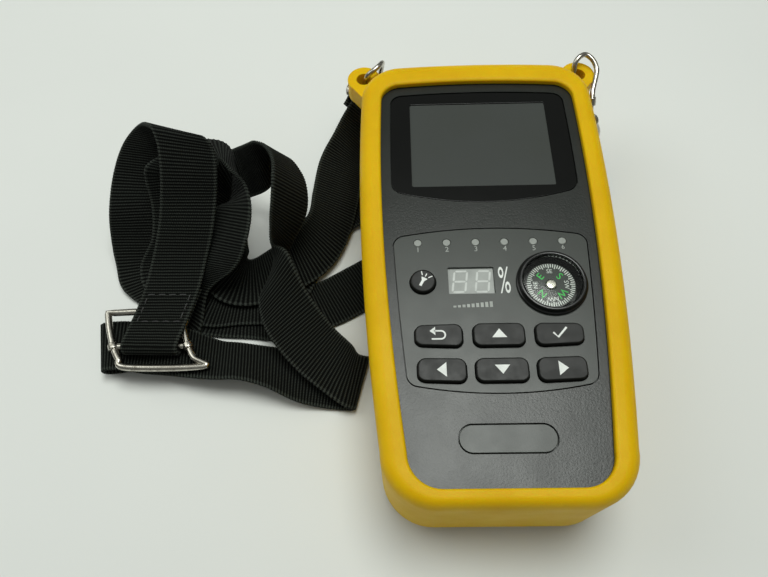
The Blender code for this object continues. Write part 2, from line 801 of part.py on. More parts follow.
def make_end_panel():
    """Plate in the top end of the case, which the connectors look through."""
    width = port_cut["width"] - 2 * clearance
    height = port_cut["high"] - port_cut["low"] - 2 * clearance
    middle = (port_cut["high"] + port_cut["low"]) / 2
    plate = box("end_panel", (width, port["panel_thickness"], height),
                (0.0, (panel_front + panel_back) / 2, middle))
    place(plate, charcoal_plastic())
    round_holes = (("tuner", tuner["x"], tuner["barrel"]), ("power", power_jack["x"], power_jack["opening"]),
                   ("video", video_jack["x"], video_jack["opening"]), ("lamp", torch_lamp["x"],
                                                                       torch_lamp["radius"]))
    for name, x, radius in round_holes:
        hole = cylinder("cut_panel_" + name, radius + clearance, port["panel_thickness"] + 2 * overrun,
                        (x, (panel_front + panel_back) / 2, port["height"]), "Y", cutters, 20)
        cut(plate, hole)
    slot = box("cut_panel_switch", (slide_switch["slot"], port["panel_thickness"] + 2 * overrun,
               slide_switch["slot_height"]), (slide_switch["x"], (panel_front + panel_back) / 2,
                                              port["height"]),
               cutters)
    return cut(plate, slot)


def make_tuner_connector():
    """Threaded aerial socket of the F type on the tuner can."""
    start = board["top"] + clearance
    end = holster_top + connector_reach
    barrel = cylinder("tuner_connector", tuner["barrel"], end - start,
                      (tuner["x"], (start + end) / 2, port["height"]), "Y", None, 24)
    flange = cylinder("join_connector_flange", tuner["flange"], tuner["flange_thickness"],
                      (tuner["x"], start + tuner["flange_thickness"] / 2, port["height"]), "Y", cutters, 24)
    bore = cylinder("cut_connector_bore", tuner["bore"], 2 * tuner["bore_depth"],
                    (tuner["x"], end, port["height"]), "Y", cutters, 16)
    join(barrel, flange)
    cut(barrel, bore)
    place(barrel, plated_steel())
    low = panel_front + clearance
    nut = cylinder("connector_nut", tuner["nut"], tuner["nut_thickness"],
                   (tuner["x"], low + tuner["nut_thickness"] / 2, port["height"]), "Y", None, 6)
    hole = cylinder("cut_nut_bore", tuner["barrel"] + clearance / 2, 2 * tuner["nut_thickness"],
                    (tuner["x"], low, port["height"]), "Y", cutters, 24)
    cut(nut, hole)
    place(nut, plated_steel())


def make_jacks():
    back = panel_back - clearance
    front_y = back - port["depth"]
    power = box("power_jack", (power_jack["width"], port["depth"], power_jack["height"]),
                (power_jack["x"], (back + front_y) / 2, port["height"]))
    bore = cylinder("cut_power_bore", power_jack["opening"], port["depth"] * 3 / 2,
                    (power_jack["x"], back, port["height"]), "Y", cutters, 20)
    pin = cylinder("join_power_pin", power_jack["pin"], port["depth"] * 7 / 8,
                   (power_jack["x"], front_y + port["depth"] / 2, port["height"]), "Y", cutters, 10)
    cut(power, bore)
    join(power, pin)
    place(power, black_plastic())
    video = box("video_jack", (video_jack["width"], port["depth"], video_jack["height"]),
                (video_jack["x"], (back + front_y) / 2, port["height"]))
    socket = cylinder("cut_video_bore", video_jack["opening"], port["depth"] * 3 / 2,
                      (video_jack["x"], back, port["height"]), "Y", cutters, 16)
    cut(video, socket)
    place(video, black_plastic())


def make_torch_lamp():
    end = panel_front + torch_lamp["proud"]
    start = panel_back - clearance - port["depth"] / 2
    lamp = cylinder("torch_lamp", torch_lamp["radius"], end - start,
                    (torch_lamp["x"], (start + end) / 2, port["height"]), "Y", None, 16)
    rim = cylinder("join_lamp_rim", torch_lamp["rim"], torch_lamp["proud"],
                   (torch_lamp["x"], panel_back - clearance - torch_lamp["proud"] / 2, port["height"]),
                   "Y", cutters, 16)
    round_edges(lamp, torch_lamp["proud"] / 2, 1, 60)
    join(lamp, rim)
    return place(lamp, clear_plastic())


def make_power_switch():
    back = panel_back - clearance
    body = box("power_switch", (slide_switch["width"], port["depth"] / 2, slide_switch["height"]),
               (slide_switch["x"], back - port["depth"] / 4, port["height"]))
    well = box("cut_switch_well", (slide_switch["slot"], port["depth"] / 2, slide_switch["slot_height"]),
               (slide_switch["x"], back, port["height"]), cutters)
    cut(body, well)
    place(body, plated_steel())
    start = back - port["depth"] / 4 + clearance
    end = panel_front + slide_switch["knob_reach"]
    knob = box("power_slider", (slide_switch["knob"], end - start, slide_switch["knob_height"]),
               (slide_switch["x"] - slide_switch["travel"], (start + end) / 2, port["height"]))
    place(knob, black_plastic())


def make_buzzer():
    high = board_bottom - clearance
    case = cylinder("buzzer", buzzer["radius"], buzzer["height"], (0.0, buzzer["y"],
                                                                   high - buzzer["height"] / 2),
                    sides=24)
    hole = cylinder("cut_buzzer", buzzer["hole"], buzzer["height"], (0.0, buzzer["y"],
                                                                     high - buzzer["height"]),
                    collection=cutters, sides=12)
    cut(case, hole)
    return place(case, black_plastic())


def smooth_route(points, steps):
    """Points on a smooth curve through the given ones."""
    route = []
    last = len(points) - 1
    for index in range(last):
        near = [Vector(points[min(max(index + offset, 0), last)]) for offset in (-1, 0, 1, 2)]
        for step in range(steps):
            route.append(tuple(between(near, step / steps)))
    route.append(tuple(points[last]))
    return route


def between(near, share):
    before, start, end, after = near
    slope_start = (end - before) / 2
    slope_end = (after - start) / 2
    rise = end - start
    bend = 3 * rise - 2 * slope_start - slope_end
    twist = slope_start + slope_end - 2 * rise
    return start + share * (slope_start + share * (bend + share * twist))


# Clips of bent wire. Routes run from the collar over the lug, down its hole and back to the gate.
clip = dict(wire=0.00085, gate=0.00045, collar=0.0015, collar_up=0.0010, collar_down=0.0022,
            eye=0.0023, eye_wire=0.00075, ring_wire=0.0010)
clip_routes = dict(
    right=dict(
        hook=((0.0464, 0.0714, 0.0326), (0.0469, 0.0750, 0.0342), (0.0482, 0.0796, 0.0358),
              (0.0488, 0.0830, 0.0370), (0.0475, 0.0863, 0.0384), (0.0449, 0.0884, 0.0392),
              (0.0423, 0.0872, 0.0393), (0.0406, 0.0852, 0.0379), (0.0407, 0.0833, 0.0346),
              (0.0412, 0.0823, 0.0310), (0.0417, 0.0817, 0.0270), (0.0423, 0.0812, 0.0236),
              (0.0433, 0.0793, 0.0210), (0.0442, 0.0777, 0.0203)),
        gate=((0.0459, 0.0730, 0.0310), (0.0452, 0.0748, 0.0285), (0.0430, 0.0787, 0.0231)),
        ring=((0.0534, 0.0700, 0.0042), (0.0540, 0.0706, 0.0080), (0.0534, 0.0699, 0.0125),
              (0.0525, 0.0699, 0.0170), (0.0504, 0.0698, 0.0210), (0.0486, 0.0691, 0.0236),
              (0.0470, 0.0670, 0.0256), (0.0466, 0.0646, 0.0266), (0.0472, 0.0610, 0.0250),
              (0.0495, 0.0560, 0.0200), (0.0523, 0.0510, 0.0130), (0.0544, 0.0474, 0.0080),
              (0.0551, 0.0472, 0.0042)),
        held=6),
    left=dict(
        hook=((-0.0375, 0.0925, 0.0195), (-0.0363, 0.0926, 0.0240), (-0.0354, 0.0920, 0.0290),
              (-0.0347, 0.0906, 0.0340), (-0.0345, 0.0880, 0.0378), (-0.0355, 0.0852, 0.0392),
              (-0.0374, 0.0832, 0.0390), (-0.0396, 0.0821, 0.0378), (-0.0411, 0.0819, 0.0354),
              (-0.0418, 0.0821, 0.0315), (-0.0419, 0.0825, 0.0280), (-0.0419, 0.0829, 0.0255),
              (-0.0416, 0.0842, 0.0226), (-0.0412, 0.0856, 0.0216)),
        gate=((-0.0384, 0.0907, 0.0208), (-0.0396, 0.0881, 0.0227), (-0.0410, 0.0850, 0.0249)),
        ring=((-0.0490, 0.0884, 0.0215), (-0.0488, 0.0903, 0.0225), (-0.0476, 0.0925, 0.0220),
              (-0.0440, 0.0935, 0.0182), (-0.0422, 0.0946, 0.0160), (-0.0400, 0.0955, 0.0128),
              (-0.0382, 0.0952, 0.0088), (-0.0358, 0.0938, 0.0043), (-0.0349, 0.0916, 0.0021),
              (-0.0354, 0.0896, 0.0015)),
        held=4),
)


def make_clip(side):
    routes = clip_routes[side]
    base = Vector(routes["hook"][0])
    held = Vector(routes["ring"][routes["held"]])
    hang = (held - base).normalized()
    hook = wire(side + "_hook", smooth_route(routes["hook"], 2), clip["wire"])
    collar = wire("join_collar_" + side, [base - hang * clip["collar_up"],
                                          base + hang * clip["collar_down"]],
                  clip["collar"], collection=cutters, sides=4)
    join(hook, collar)
    place(hook, plated_steel())
    gate = wire(side + "_gate", smooth_route(routes["gate"], 2), clip["gate"])
    place(gate, plated_steel())
    along = Vector(routes["ring"][routes["held"] + 1]) - Vector(routes["ring"][routes["held"] - 1])
    across = hang.cross(along).normalized()
    ring_of_eye = []
    steps = 16
    for step in range(steps):
        turn = 2 * math.pi * step / steps
        ring_of_eye.append(tuple(held + (hang * math.cos(turn) + across * math.sin(turn)) * clip["eye"]))
    swivel = wire(side + "_swivel", ring_of_eye, clip["eye_wire"], closed=True)
    stem = wire("join_stem_" + side, [base + hang * (clip["collar_down"] + clearance),
                held - hang * clip["eye"]], clip["eye_wire"], collection=cutters)
    join(swivel, stem)
    place(swivel, plated_steel())
    ring = wire(side + "_ring", smooth_route(routes["ring"], 2), clip["ring_wire"], closed=True)
    place(ring, plated_steel())


# Webbing slider of bent wire lying on the strap. Its left rail is bowed, and the right one runs alongside.
slider = dict(wire=0.00125, width=0.0268, height=0.0108, collar=0.00195, collar_length=0.0024)
slider_rail = ((-0.1360, -0.0063), (-0.1341, -0.0130), (-0.1315, -0.0197), (-0.1289, -0.0242),
               (-0.1252, -0.0275))


def make_slider():
    left = [(x, y, slider["height"]) for x, y in slider_rail]
    right = [(x + slider["width"], y, slider["height"]) for x, y in reversed(slider_rail)]
    frame = wire("slider_frame", smooth_route(left, 2) + smooth_route(right, 2), slider["wire"], closed=True)
    place(frame, plated_steel())
    middle = len(left) // 2
    start = Vector(left[middle])
    end = start + Vector((slider["width"], 0.0, 0.0))
    reach = Vector((slider["wire"] + clearance, 0.0, 0.0))
    bar = wire("slider_bar", [start + reach, end - reach], slider["wire"])
    along = (Vector(left[middle + 1]) - Vector(left[middle - 1])).normalized()
    for side, centre in (("left", start), ("right", end)):
        half = along * slider["collar_length"] / 2
        collar = wire("join_crimp_" + side, [centre - half, centre + half], slider["collar"],
                      collection=cutters, sides=3)
        join(bar, collar)
    for side, centre in (("left", start), ("right", end)):
        half = along * slider["collar_length"]
        hole = wire("cut_crimp_" + side, [centre - half, centre + half], slider["wire"] + clearance,
                    collection=cutters, sides=3)
        cut(bar, hole)
    place(bar, plated_steel())


# The strap's route as it lies in the photo: a middle point and the direction across the webbing at each.
# It is sewn round the slider's bar, arches over and runs under the meter to the right ring, then back
# under the meter, through the slider's loop and round to the left ring.
webbing = dict(width=0.0200, thickness=0.0012)
strap_route = (
    (-0.1179, -0.0156, 0.0085, -1.00, 0.03, 0.00), (-0.1179, -0.0195, 0.0084, -1.00, 0.03, 0.00),
    (-0.1179, -0.0214, 0.0091, -1.00, 0.03, 0.00), (-0.1179, -0.0221, 0.0108, -1.00, 0.03, 0.00),
    (-0.1179, -0.0214, 0.0125, -1.00, 0.03, 0.00), (-0.1179, -0.0196, 0.0132, -1.00, 0.03, 0.00),
    (-0.1150, -0.0086, 0.0133, -1.00, 0.01, 0.01), (-0.1118, 0.0010, 0.0159, -1.00, 0.01, 0.01),
    (-0.1093, 0.0103, 0.0200, -1.00, 0.02, 0.00), (-0.1061, 0.0185, 0.0270, -1.00, 0.04, 0.00),
    (-0.1037, 0.0261, 0.0350, -1.00, 0.02, 0.00), (-0.1018, 0.0319, 0.0440, -1.00, 0.07, 0.00),
    (-0.1016, 0.0373, 0.0505, -0.99, 0.14, 0.05), (-0.1041, 0.0409, 0.0535, -0.97, 0.24, 0.05),
    (-0.1120, 0.0470, 0.0470, -0.94, 0.34, 0.00), (-0.1204, 0.0473, 0.0380, -0.98, 0.20, 0.00),
    (-0.1267, 0.0425, 0.0280, -0.99, 0.12, 0.00), (-0.1294, 0.0331, 0.0200, -1.00, -0.03, 0.00),
    (-0.1312, 0.0255, 0.0100, -1.00, 0.02, 0.00), (-0.1301, 0.0181, 0.0040, -1.00, -0.08, 0.00),
    (-0.1260, 0.0105, 0.0022, -0.91, -0.41, 0.00), (-0.1110, 0.0030, 0.0010, -0.62, -0.78, 0.00),
    (-0.1010, -0.0015, 0.0008, -0.30, -0.95, 0.00), (-0.0870, -0.0030, 0.0008, 0.05, -1.00, 0.00),
    (-0.0740, -0.0040, 0.0008, 0.15, -0.99, 0.00), (-0.0580, 0.0005, 0.0008, 0.45, -0.89, 0.00),
    (-0.0430, 0.0088, 0.0008, 0.53, -0.85, 0.00), (-0.0200, 0.0228, 0.0008, 0.53, -0.85, 0.00),
    (0.0300, 0.0525, 0.0008, 0.35, -0.94, 0.00), (0.0460, 0.0570, 0.0013, 0.10, -1.00, 0.00),
    (0.0542, 0.0584, 0.0023, 0.07, -1.00, 0.00), (0.0562, 0.0586, 0.0042, 0.07, -1.00, 0.00),
    (0.0542, 0.0584, 0.0061, 0.07, -1.00, 0.00), (0.0460, 0.0576, 0.0030, 0.07, -1.00, 0.00),
    (0.0300, 0.0575, 0.0024, 0.10, -1.00, 0.00), (0.0000, 0.0545, 0.0024, 0.12, -0.99, 0.00),
    (-0.0240, 0.0490, 0.0024, 0.35, -0.94, 0.00), (-0.0495, 0.0439, 0.0024, 0.60, -0.80, 0.00),
    (-0.0570, 0.0363, 0.0024, 0.68, -0.73, 0.00), (-0.0676, 0.0199, 0.0024, 0.86, -0.50, 0.00),
    (-0.0721, 0.0089, 0.0024, 0.72, -0.70, 0.00), (-0.0768, 0.0026, 0.0024, 0.25, -0.97, 0.00),
    (-0.0888, 0.0019, 0.0024, -0.05, -1.00, 0.00), (-0.0990, 0.0010, 0.0026, -0.25, -0.97, 0.00),
    (-0.1080, 0.0045, 0.0030, -0.61, -0.79, 0.00), (-0.1170, 0.0091, 0.0038, -0.93, -0.36, 0.00),
    (-0.1193, 0.0160, 0.0065, -1.00, -0.03, 0.00), (-0.1130, 0.0226, 0.0155, -1.00, 0.02, 0.00),
    (-0.1114, 0.0312, 0.0245, -1.00, 0.03, -0.05), (-0.1112, 0.0364, 0.0335, -1.00, -0.06, -0.05),
    (-0.1092, 0.0366, 0.0383, -0.98, 0.15, 0.15), (-0.1023, 0.0387, 0.0416, -0.92, 0.38, -0.03),
    (-0.0963, 0.0458, 0.0386, -0.42, 0.81, -0.42), (-0.0904, 0.0428, 0.0365, -0.16, 0.82, -0.54),
    (-0.0856, 0.0336, 0.0292, -0.04, 0.65, -0.76), (-0.0916, 0.0288, 0.0260, -0.94, 0.22, 0.26),
    (-0.0942, 0.0203, 0.0210, -0.95, 0.24, 0.22), (-0.1015, 0.0130, 0.0135, -0.95, 0.25, 0.16),
    (-0.1101, 0.0058, 0.0094, -0.95, 0.32, 0.04), (-0.1120, -0.0058, 0.0045, -0.75, 0.62, 0.20),
    (-0.1210, -0.0118, 0.0022, -0.60, 0.80, -0.00), (-0.1300, -0.0155, 0.0010, -0.42, 0.91, -0.00),
    (-0.1365, -0.0170, 0.0020, -0.28, 0.96, -0.00), (-0.1386, -0.0174, 0.0040, -0.24, 0.97, -0.05),
    (-0.1364, -0.0172, 0.0060, -0.19, 0.98, -0.10), (-0.1300, -0.0170, 0.0058, -0.08, 0.99, -0.10),
    (-0.1210, -0.0182, 0.0054, -0.03, 1.00, -0.08), (-0.1100, -0.0197, 0.0066, -0.05, 1.00, -0.08),
    (-0.0955, -0.0230, 0.0060, -0.13, 0.90, -0.41), (-0.0871, -0.0239, 0.0066, -0.15, 0.87, -0.47),
    (-0.0770, -0.0260, 0.0060, -0.11, 0.91, -0.40), (-0.0661, -0.0289, 0.0035, -0.00, 0.99, -0.15),
    (-0.0562, -0.0303, 0.0018, 0.10, 0.99, -0.02), (-0.0465, -0.0313, 0.0010, 0.20, 0.98, -0.00),
    (-0.0434, -0.0315, 0.0030, 0.24, 0.97, -0.00), (-0.0468, -0.0312, 0.0052, 0.22, 0.98, -0.00),
    (-0.0512, -0.0276, 0.0070, 0.44, 0.90, 0.02), (-0.0587, -0.0217, 0.0095, 0.63, 0.77, 0.05),
    (-0.0653, -0.0147, 0.0130, 0.75, 0.66, 0.12), (-0.0705, -0.0073, 0.0170, 0.71, 0.65, 0.26),
    (-0.0737, 0.0017, 0.0215, 0.58, 0.56, 0.59), (-0.0737, 0.0068, 0.0250, 0.16, 0.37, 0.91),
    (-0.0713, 0.0112, 0.0315, -0.21, 0.40, 0.89), (-0.0681, 0.0170, 0.0385, -0.60, 0.50, 0.62),
    (-0.0665, 0.0247, 0.0440, -0.82, 0.32, 0.47), (-0.0687, 0.0317, 0.0460, -0.80, 0.22, 0.56),
    (-0.0737, 0.0385, 0.0430, -0.32, -0.06, 0.94), (-0.0817, 0.0455, 0.0285, -0.25, 0.39, 0.89),
    (-0.0905, 0.0502, 0.0185, -0.21, 0.61, 0.76), (-0.0975, 0.0483, 0.0170, -0.46, 0.52, 0.72),
    (-0.0986, 0.0402, 0.0135, -0.85, 0.40, 0.35), (-0.0987, 0.0301, 0.0104, -1.00, -0.00, 0.10),
    (-0.0976, 0.0201, 0.0072, -0.97, -0.25, -0.00), (-0.0939, 0.0107, 0.0056, -0.55, -0.83, -0.00),
    (-0.0853, 0.0086, 0.0052, 0.12, -0.99, -0.00), (-0.0761, 0.0131, 0.0058, 0.37, -0.93, -0.02),
    (-0.0684, 0.0156, 0.0080, 0.38, -0.87, -0.32), (-0.0604, 0.0219, 0.0104, 0.62, -0.45, -0.64),
    (-0.0560, 0.0303, 0.0113, 0.69, -0.14, -0.71), (-0.0540, 0.0421, 0.0113, 0.82, -0.01, -0.58),
    (-0.0521, 0.0575, 0.0102, 0.82, -0.05, -0.58), (-0.0488, 0.0700, 0.0092, 0.61, -0.10, -0.78),
    (-0.0448, 0.0802, 0.0106, 0.61, 0.03, -0.79), (-0.0404, 0.0889, 0.0127, 0.55, 0.05, -0.83),
    (-0.0410, 0.0906, 0.0123, 0.55, 0.05, -0.83), (-0.0423, 0.0912, 0.0114, 0.55, 0.05, -0.83),
    (-0.0436, 0.0906, 0.0105, 0.55, 0.05, -0.83), (-0.0442, 0.0890, 0.0102, 0.55, 0.05, -0.83),
    (-0.0456, 0.0864, 0.0096, 0.55, 0.05, -0.83),
)


def make_strap():
    """Flat ribbon along the route. Both its sides are cut into triangles along the same lines."""
    middles = smooth_route([entry[:3] for entry in strap_route], 2)
    across = smooth_route([entry[3:] for entry in strap_route], 2)
    mesh = bpy.data.meshes.new("strap")
    shape = bmesh.new()
    last = len(middles) - 1
    sections = []
    for index, (middle, direction) in enumerate(zip(middles, across)):
        centre = Vector(middle)
        along = Vector(middles[min(index + 1, last)]) - Vector(middles[max(index - 1, 0)])
        side = Vector(direction).normalized()
        up = along.cross(side).normalized() * webbing["thickness"] / 2
        side = side * webbing["width"] / 2
        corners = (centre - side - up, centre + side - up, centre + side + up, centre - side + up)
        sections.append([shape.verts.new(corner) for corner in corners])
    for near, far in zip(sections, sections[1:]):
        for first, second in ((0, 1), (3, 2), (1, 2), (0, 3)):
            shape.faces.new((near[first], near[second], far[second]))
            shape.faces.new((near[first], far[second], far[first]))
    shape.faces.new(list(reversed(sections[0])))
    shape.faces.new(sections[-1])
    bmesh.ops.recalc_face_normals(shape, faces=shape.faces)
    shape.to_mesh(mesh)
    shape.free()
    return place(mesh_object("strap", mesh), black_webbing())


make_holster()
front = make_front_cover()
add_front_posts(front)
make_control_panel()
make_badge()
make_lens()
make_screen()
make_rear_cover()
make_battery_door()
make_battery()
make_screws()
make_board()
make_tuner_can()
for key_entry in key_table:
    make_key(*key_entry)
make_torch_button()
make_key_mat()
make_torch_switch()
make_digits()
make_led_pipes()
make_compass()
make_end_panel()
make_tuner_connector()
make_jacks()
make_torch_lamp()
make_power_switch()
make_buzzer()
make_clip("left")
make_clip("right")
make_slider()
make_strap()
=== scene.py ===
import math
from functools import partial
import bmesh
import bpy
from mathutils import Matrix, Vector


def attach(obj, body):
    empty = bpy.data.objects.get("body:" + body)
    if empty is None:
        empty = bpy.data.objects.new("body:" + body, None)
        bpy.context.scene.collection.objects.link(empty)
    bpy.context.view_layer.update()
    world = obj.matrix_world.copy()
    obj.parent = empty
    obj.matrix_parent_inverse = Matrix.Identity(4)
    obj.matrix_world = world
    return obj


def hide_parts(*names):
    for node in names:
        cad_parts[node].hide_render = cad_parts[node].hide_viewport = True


# Looks of a satellite signal meter in its rubber holster, with a webbing strap. Metres, +Z up.
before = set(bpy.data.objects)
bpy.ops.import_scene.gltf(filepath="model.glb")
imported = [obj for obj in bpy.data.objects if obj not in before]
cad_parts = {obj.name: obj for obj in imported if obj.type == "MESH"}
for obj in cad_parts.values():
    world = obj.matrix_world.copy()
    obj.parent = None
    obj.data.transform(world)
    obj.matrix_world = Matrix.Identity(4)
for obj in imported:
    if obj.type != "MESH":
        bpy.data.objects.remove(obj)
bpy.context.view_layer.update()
print("stage: frame loaded")

# The meter's own coordinates have their origin in the middle of the holster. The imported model's
# origin lies further along Y, because the end connector reaches past the holster.
partShift = Vector((0.0, -0.00575, 0.0))
scene = bpy.context.scene

camera = dict(place=(-0.03068, -0.10650, 0.22069), right=(0.99970, -0.00606, -0.02355),
              up=(0.01619, 0.88832, 0.45893), back=(0.01814, -0.45918, 0.88816), fieldOfView=61.93,
              sensor=36.0, near=0.01, far=20.0)


def linked(name, data):
    item = bpy.data.objects.new(name, data)
    scene.collection.objects.link(item)
    return item


def makeCamera():
    seen = linked("camera", bpy.data.cameras.new("camera"))
    turn = Matrix((camera["right"], camera["up"], camera["back"])).transposed().to_4x4()
    seen.matrix_world = Matrix.Translation(Vector(camera["place"]) + partShift) @ turn
    seen.data.sensor_fit = "HORIZONTAL"
    seen.data.sensor_width = camera["sensor"]
    seen.data.lens_unit = "FOV"
    seen.data.angle = math.radians(camera["fieldOfView"])
    seen.data.clip_start = camera["near"]
    seen.data.clip_end = camera["far"]
    scene.camera = seen


makeCamera()
print("stage: camera")


def linear(colour):
    # sRGB hex text as the linear values that shaders take
    values = [int(colour[start:start + 2], 16) / 255 for start in (1, 3, 5)]
    values = [value / 12.92 if value <= 0.04045 else ((value + 0.055) / 1.055) ** 2.4 for value in values]
    return (*values, 1.0)


def addNode(tree, kind, output, inputs=None, **settings):
    # Adds a node with its settings and links, and gives back one of its outputs
    node = tree.nodes.new("ShaderNode" + kind)
    for name, value in settings.items():
        setattr(node, name, value)
    for name, value in (inputs or {}).items():
        if isinstance(value, bpy.types.NodeSocket):
            tree.links.new(value, node.inputs[name])
        else:
            node.inputs[name].default_value = value
    return node.outputs[output] if node.outputs else None


def emptyTree(owner):
    owner.use_nodes = True
    owner.node_tree.nodes.clear()
    return partial(addNode, owner.node_tree)


# Stain, grain and depth are real sizes in millimetres. Noise takes its detail and its roughness as a
# pair, and shares say between which values of the noise the colour, the gloss or the speckle changes
def surface(name, colours, stain, grain, depth, roughness, speckle=0.0, stainNoise=(4.0, 0.6),
            grainNoise=(3.0, 0.6), stainShares=(0.35, 0.70), glossShares=(0.35, 0.65),
            speckleShares=(0.30, 0.70), looks=None):
    material = bpy.data.materials.new(name)
    add = emptyTree(material)
    place = add("TexCoord", "Object")
    stained, grained = [
        add("TexNoise", "Fac", {"Vector": place, "Scale": 1000 / size, "Detail": detail, "Roughness": rough})
        for size, (detail, rough) in ((stain, stainNoise), (grain, grainNoise))]
    # A colour that is the same all over is set on the shader itself
    colour = linear(colours[0])
    if len(colours) > 1:
        share = add("MapRange", "Result", {"Value": stained, "From Min": stainShares[0],
                                           "From Max": stainShares[1]})
        colour = add("Mix", 2, {0: share, 6: colour, 7: linear(colours[1])}, data_type="RGBA")
    if speckle:
        spots = add("MapRange", "Result", {"Value": grained, "From Min": speckleShares[0],
                                           "From Max": speckleShares[1], "To Min": 1 - speckle,
                                           "To Max": 1 + speckle})
        colour = add("Mix", 2, {0: 1.0, 6: colour, 7: spots}, data_type="RGBA", blend_type="MULTIPLY")
    gloss = add("MapRange", "Result", {"Value": stained, "From Min": glossShares[0],
                                       "From Max": glossShares[1], "To Min": roughness[0],
                                       "To Max": roughness[1]})
    bump = add("Bump", "Normal", {"Height": grained, "Distance": depth / 1000})
    shader = add("BsdfPrincipled", 0, {"Base Color": colour, "Roughness": gloss, "Normal": bump,
                                       **(looks or {})})
    add("OutputMaterial", None, {"Surface": shader})
    return material


# Soft rubber, handled for years: faintly mottled, with a low sheen, and light sinks a little way in
yellowRubber = surface(
    "moulded yellow rubber, satin", ("#DDB202", "#D4A702"), stain=20, grain=0.45, depth=0.012,
    roughness=(0.46, 0.58), speckle=0.02,
    looks={"Specular IOR Level": 0.15, "Subsurface Weight": 0.40, "Subsurface Radius": (1.0, 0.42, 0.04),
           "Subsurface Scale": 0.0035})
# ABS with a spark-eroded grain, which breaks the gloss into fine speckles
charcoalPlastic = surface(
    "charcoal ABS, fine grain", ("#191D19", "#161A16"), stain=10, grain=0.60, depth=0.052,
    roughness=(0.31, 0.35), speckle=0.25, looks={"Specular IOR Level": 0.46})
# The same ABS from a smoother mould, so it looks slightly lighter
panelPlastic = surface("charcoal panel, satin", ("#2D322D", "#292E29"), stain=8, grain=0.35, depth=0.020,
                       roughness=(0.35, 0.39), speckle=0.08)
# Polished mould, for the compass and the sockets
blackPlastic = surface("black ABS, polished", ("#0D0E0E",), stain=12, grain=0.6, depth=0.004,
                       roughness=(0.18, 0.30))
# Silicone of the keys: matt, with a soft grain
keyRubber = surface("black silicone rubber, matt", ("#0A0C09", "#080A07"), stain=4, grain=0.3, depth=0.010,
                    roughness=(0.41, 0.51), speckle=0.06, looks={"Specular IOR Level": 0.35})
# Masked with black paint from behind, so its face is polished
maskPlastic = surface("acrylic window, black mask", ("#0D0E0D",), stain=12, grain=4, depth=0.001,
                      roughness=(0.11, 0.15), looks={"Specular IOR Level": 0.35})
# Seen through the clear part of the window: off, with a faint grey haze
screenGlass = surface("liquid crystal screen, switched off", ("#424543", "#3F423F"), stain=30, grain=0.8,
                      depth=0.001, roughness=(0.16, 0.20))
# Pad printed inks, dull and slightly uneven
inkGrain = dict(grain=0.2, depth=0.004)
whiteInk = surface("white printing ink", ("#E6E9E5", "#D6D9D5"), stain=2, roughness=(0.50, 0.60), **inkGrain)
greyInk = surface("light grey printing ink", ("#A3A7A2", "#979B96"), stain=2, roughness=(0.50, 0.60),
                  **inkGrain)
greenInk = surface("green printing ink", ("#2FC44C", "#3AD65A"), stain=1, roughness=(0.45, 0.55), **inkGrain)
dialInk = surface("black dial ink", ("#1A1F1B", "#252C26"), stain=3, grain=0.3, depth=0.004,
                  roughness=(0.45, 0.55))
# Cast resins that spread the light of the lamps behind them, milky when those are off
lightPipe = surface("milky light pipe resin", ("#8F938E", "#858984"), stain=1, grain=0.3, depth=0.006,
                    roughness=(0.33, 0.43))
digitFace = surface("grey display resin", ("#999D99", "#8C908C"), stain=4, grain=0.3, depth=0.004,
                    roughness=(0.31, 0.41))
digitSegment = surface("white display segment", ("#C3C7C3", "#B4B8B4"), stain=2, grain=0.3, depth=0.004,
                       roughness=(0.35, 0.45))
# Moulded clear, with a hard gloss
clearTorch = surface("clear torch lens", ("#C9CDD0",), stain=12, grain=0.5, depth=0.003,
                     roughness=(0.07, 0.17), looks={"Coat Weight": 1.0, "Coat Roughness": 0.05})
# Inside: lacquered board and heat-shrunk film, both smooth
circuitBoard = surface("green solder mask", ("#0F4A24", "#0B3D1D"), stain=3, grain=0.4, depth=0.01,
                       roughness=(0.35, 0.45))
shrinkWrap = surface("blue battery wrap", ("#1B3C86", "#183578"), stain=8, grain=2, depth=0.02,
                     roughness=(0.30, 0.40))
# Spun thread, dull and fuzzy
threadBlack = surface("black sewing thread", ("#1A1B1A",), stain=12, grain=0.15, depth=0.03,
                      roughness=(0.55, 0.65), speckle=0.2, looks={"Sheen Weight": 0.3})
# Metals, bright where they are rubbed and dull in spots, with fine scratches
wornMetal = dict(stainNoise=(5.0, 0.65), grainNoise=(2.0, 0.5), stainShares=(0.45, 0.75),
                 glossShares=(0.40, 0.75), looks={"Metallic": 1.0})
nickelPlate = surface("nickel plate, lightly worn", ("#C2BEB4", "#858076"), stain=2.2, grain=0.5,
                      depth=0.006, roughness=(0.16, 0.38), **wornMetal)
brightPin = surface("turned steel pin", ("#CFCBC0", "#9E998D"), stain=1, grain=0.3, depth=0.003,
                    roughness=(0.22, 0.37), **wornMetal)

# Moulded clear and polished. Fine wear takes about half of the reflection away
clear = dict(ripple=6.0, depth=0.02, roughness=0.12, tint=(0.97, 0.98, 0.97, 1.0), bending=1.45, shine=0.45)


def lensSurface(name):
    material = bpy.data.materials.new(name)
    add = emptyTree(material)
    ripple = add("TexNoise", "Fac", {"Vector": add("TexCoord", "Object"), "Scale": 1000 / clear["ripple"],
                                     "Detail": 1.0})
    bump = add("Bump", "Normal", {"Height": ripple, "Distance": clear["depth"] / 1000})
    mirrored = add("BsdfGlossy", 0, {"Roughness": clear["roughness"], "Normal": bump,
                                     "Color": (1.0, 1.0, 1.0, 1.0)})
    through = add("BsdfTransparent", 0, {"Color": clear["tint"]})
    facing = add("Fresnel", 0, {"IOR": clear["bending"], "Normal": bump})
    share = add("Math", 0, {0: facing, 1: clear["shine"]}, operation="MULTIPLY")
    add("OutputMaterial", None, {"Surface": add("MixShader", 0, {0: share, 1: through, 2: mirrored})})
    return material


compassLens = lensSurface("clear compass lens, polished")

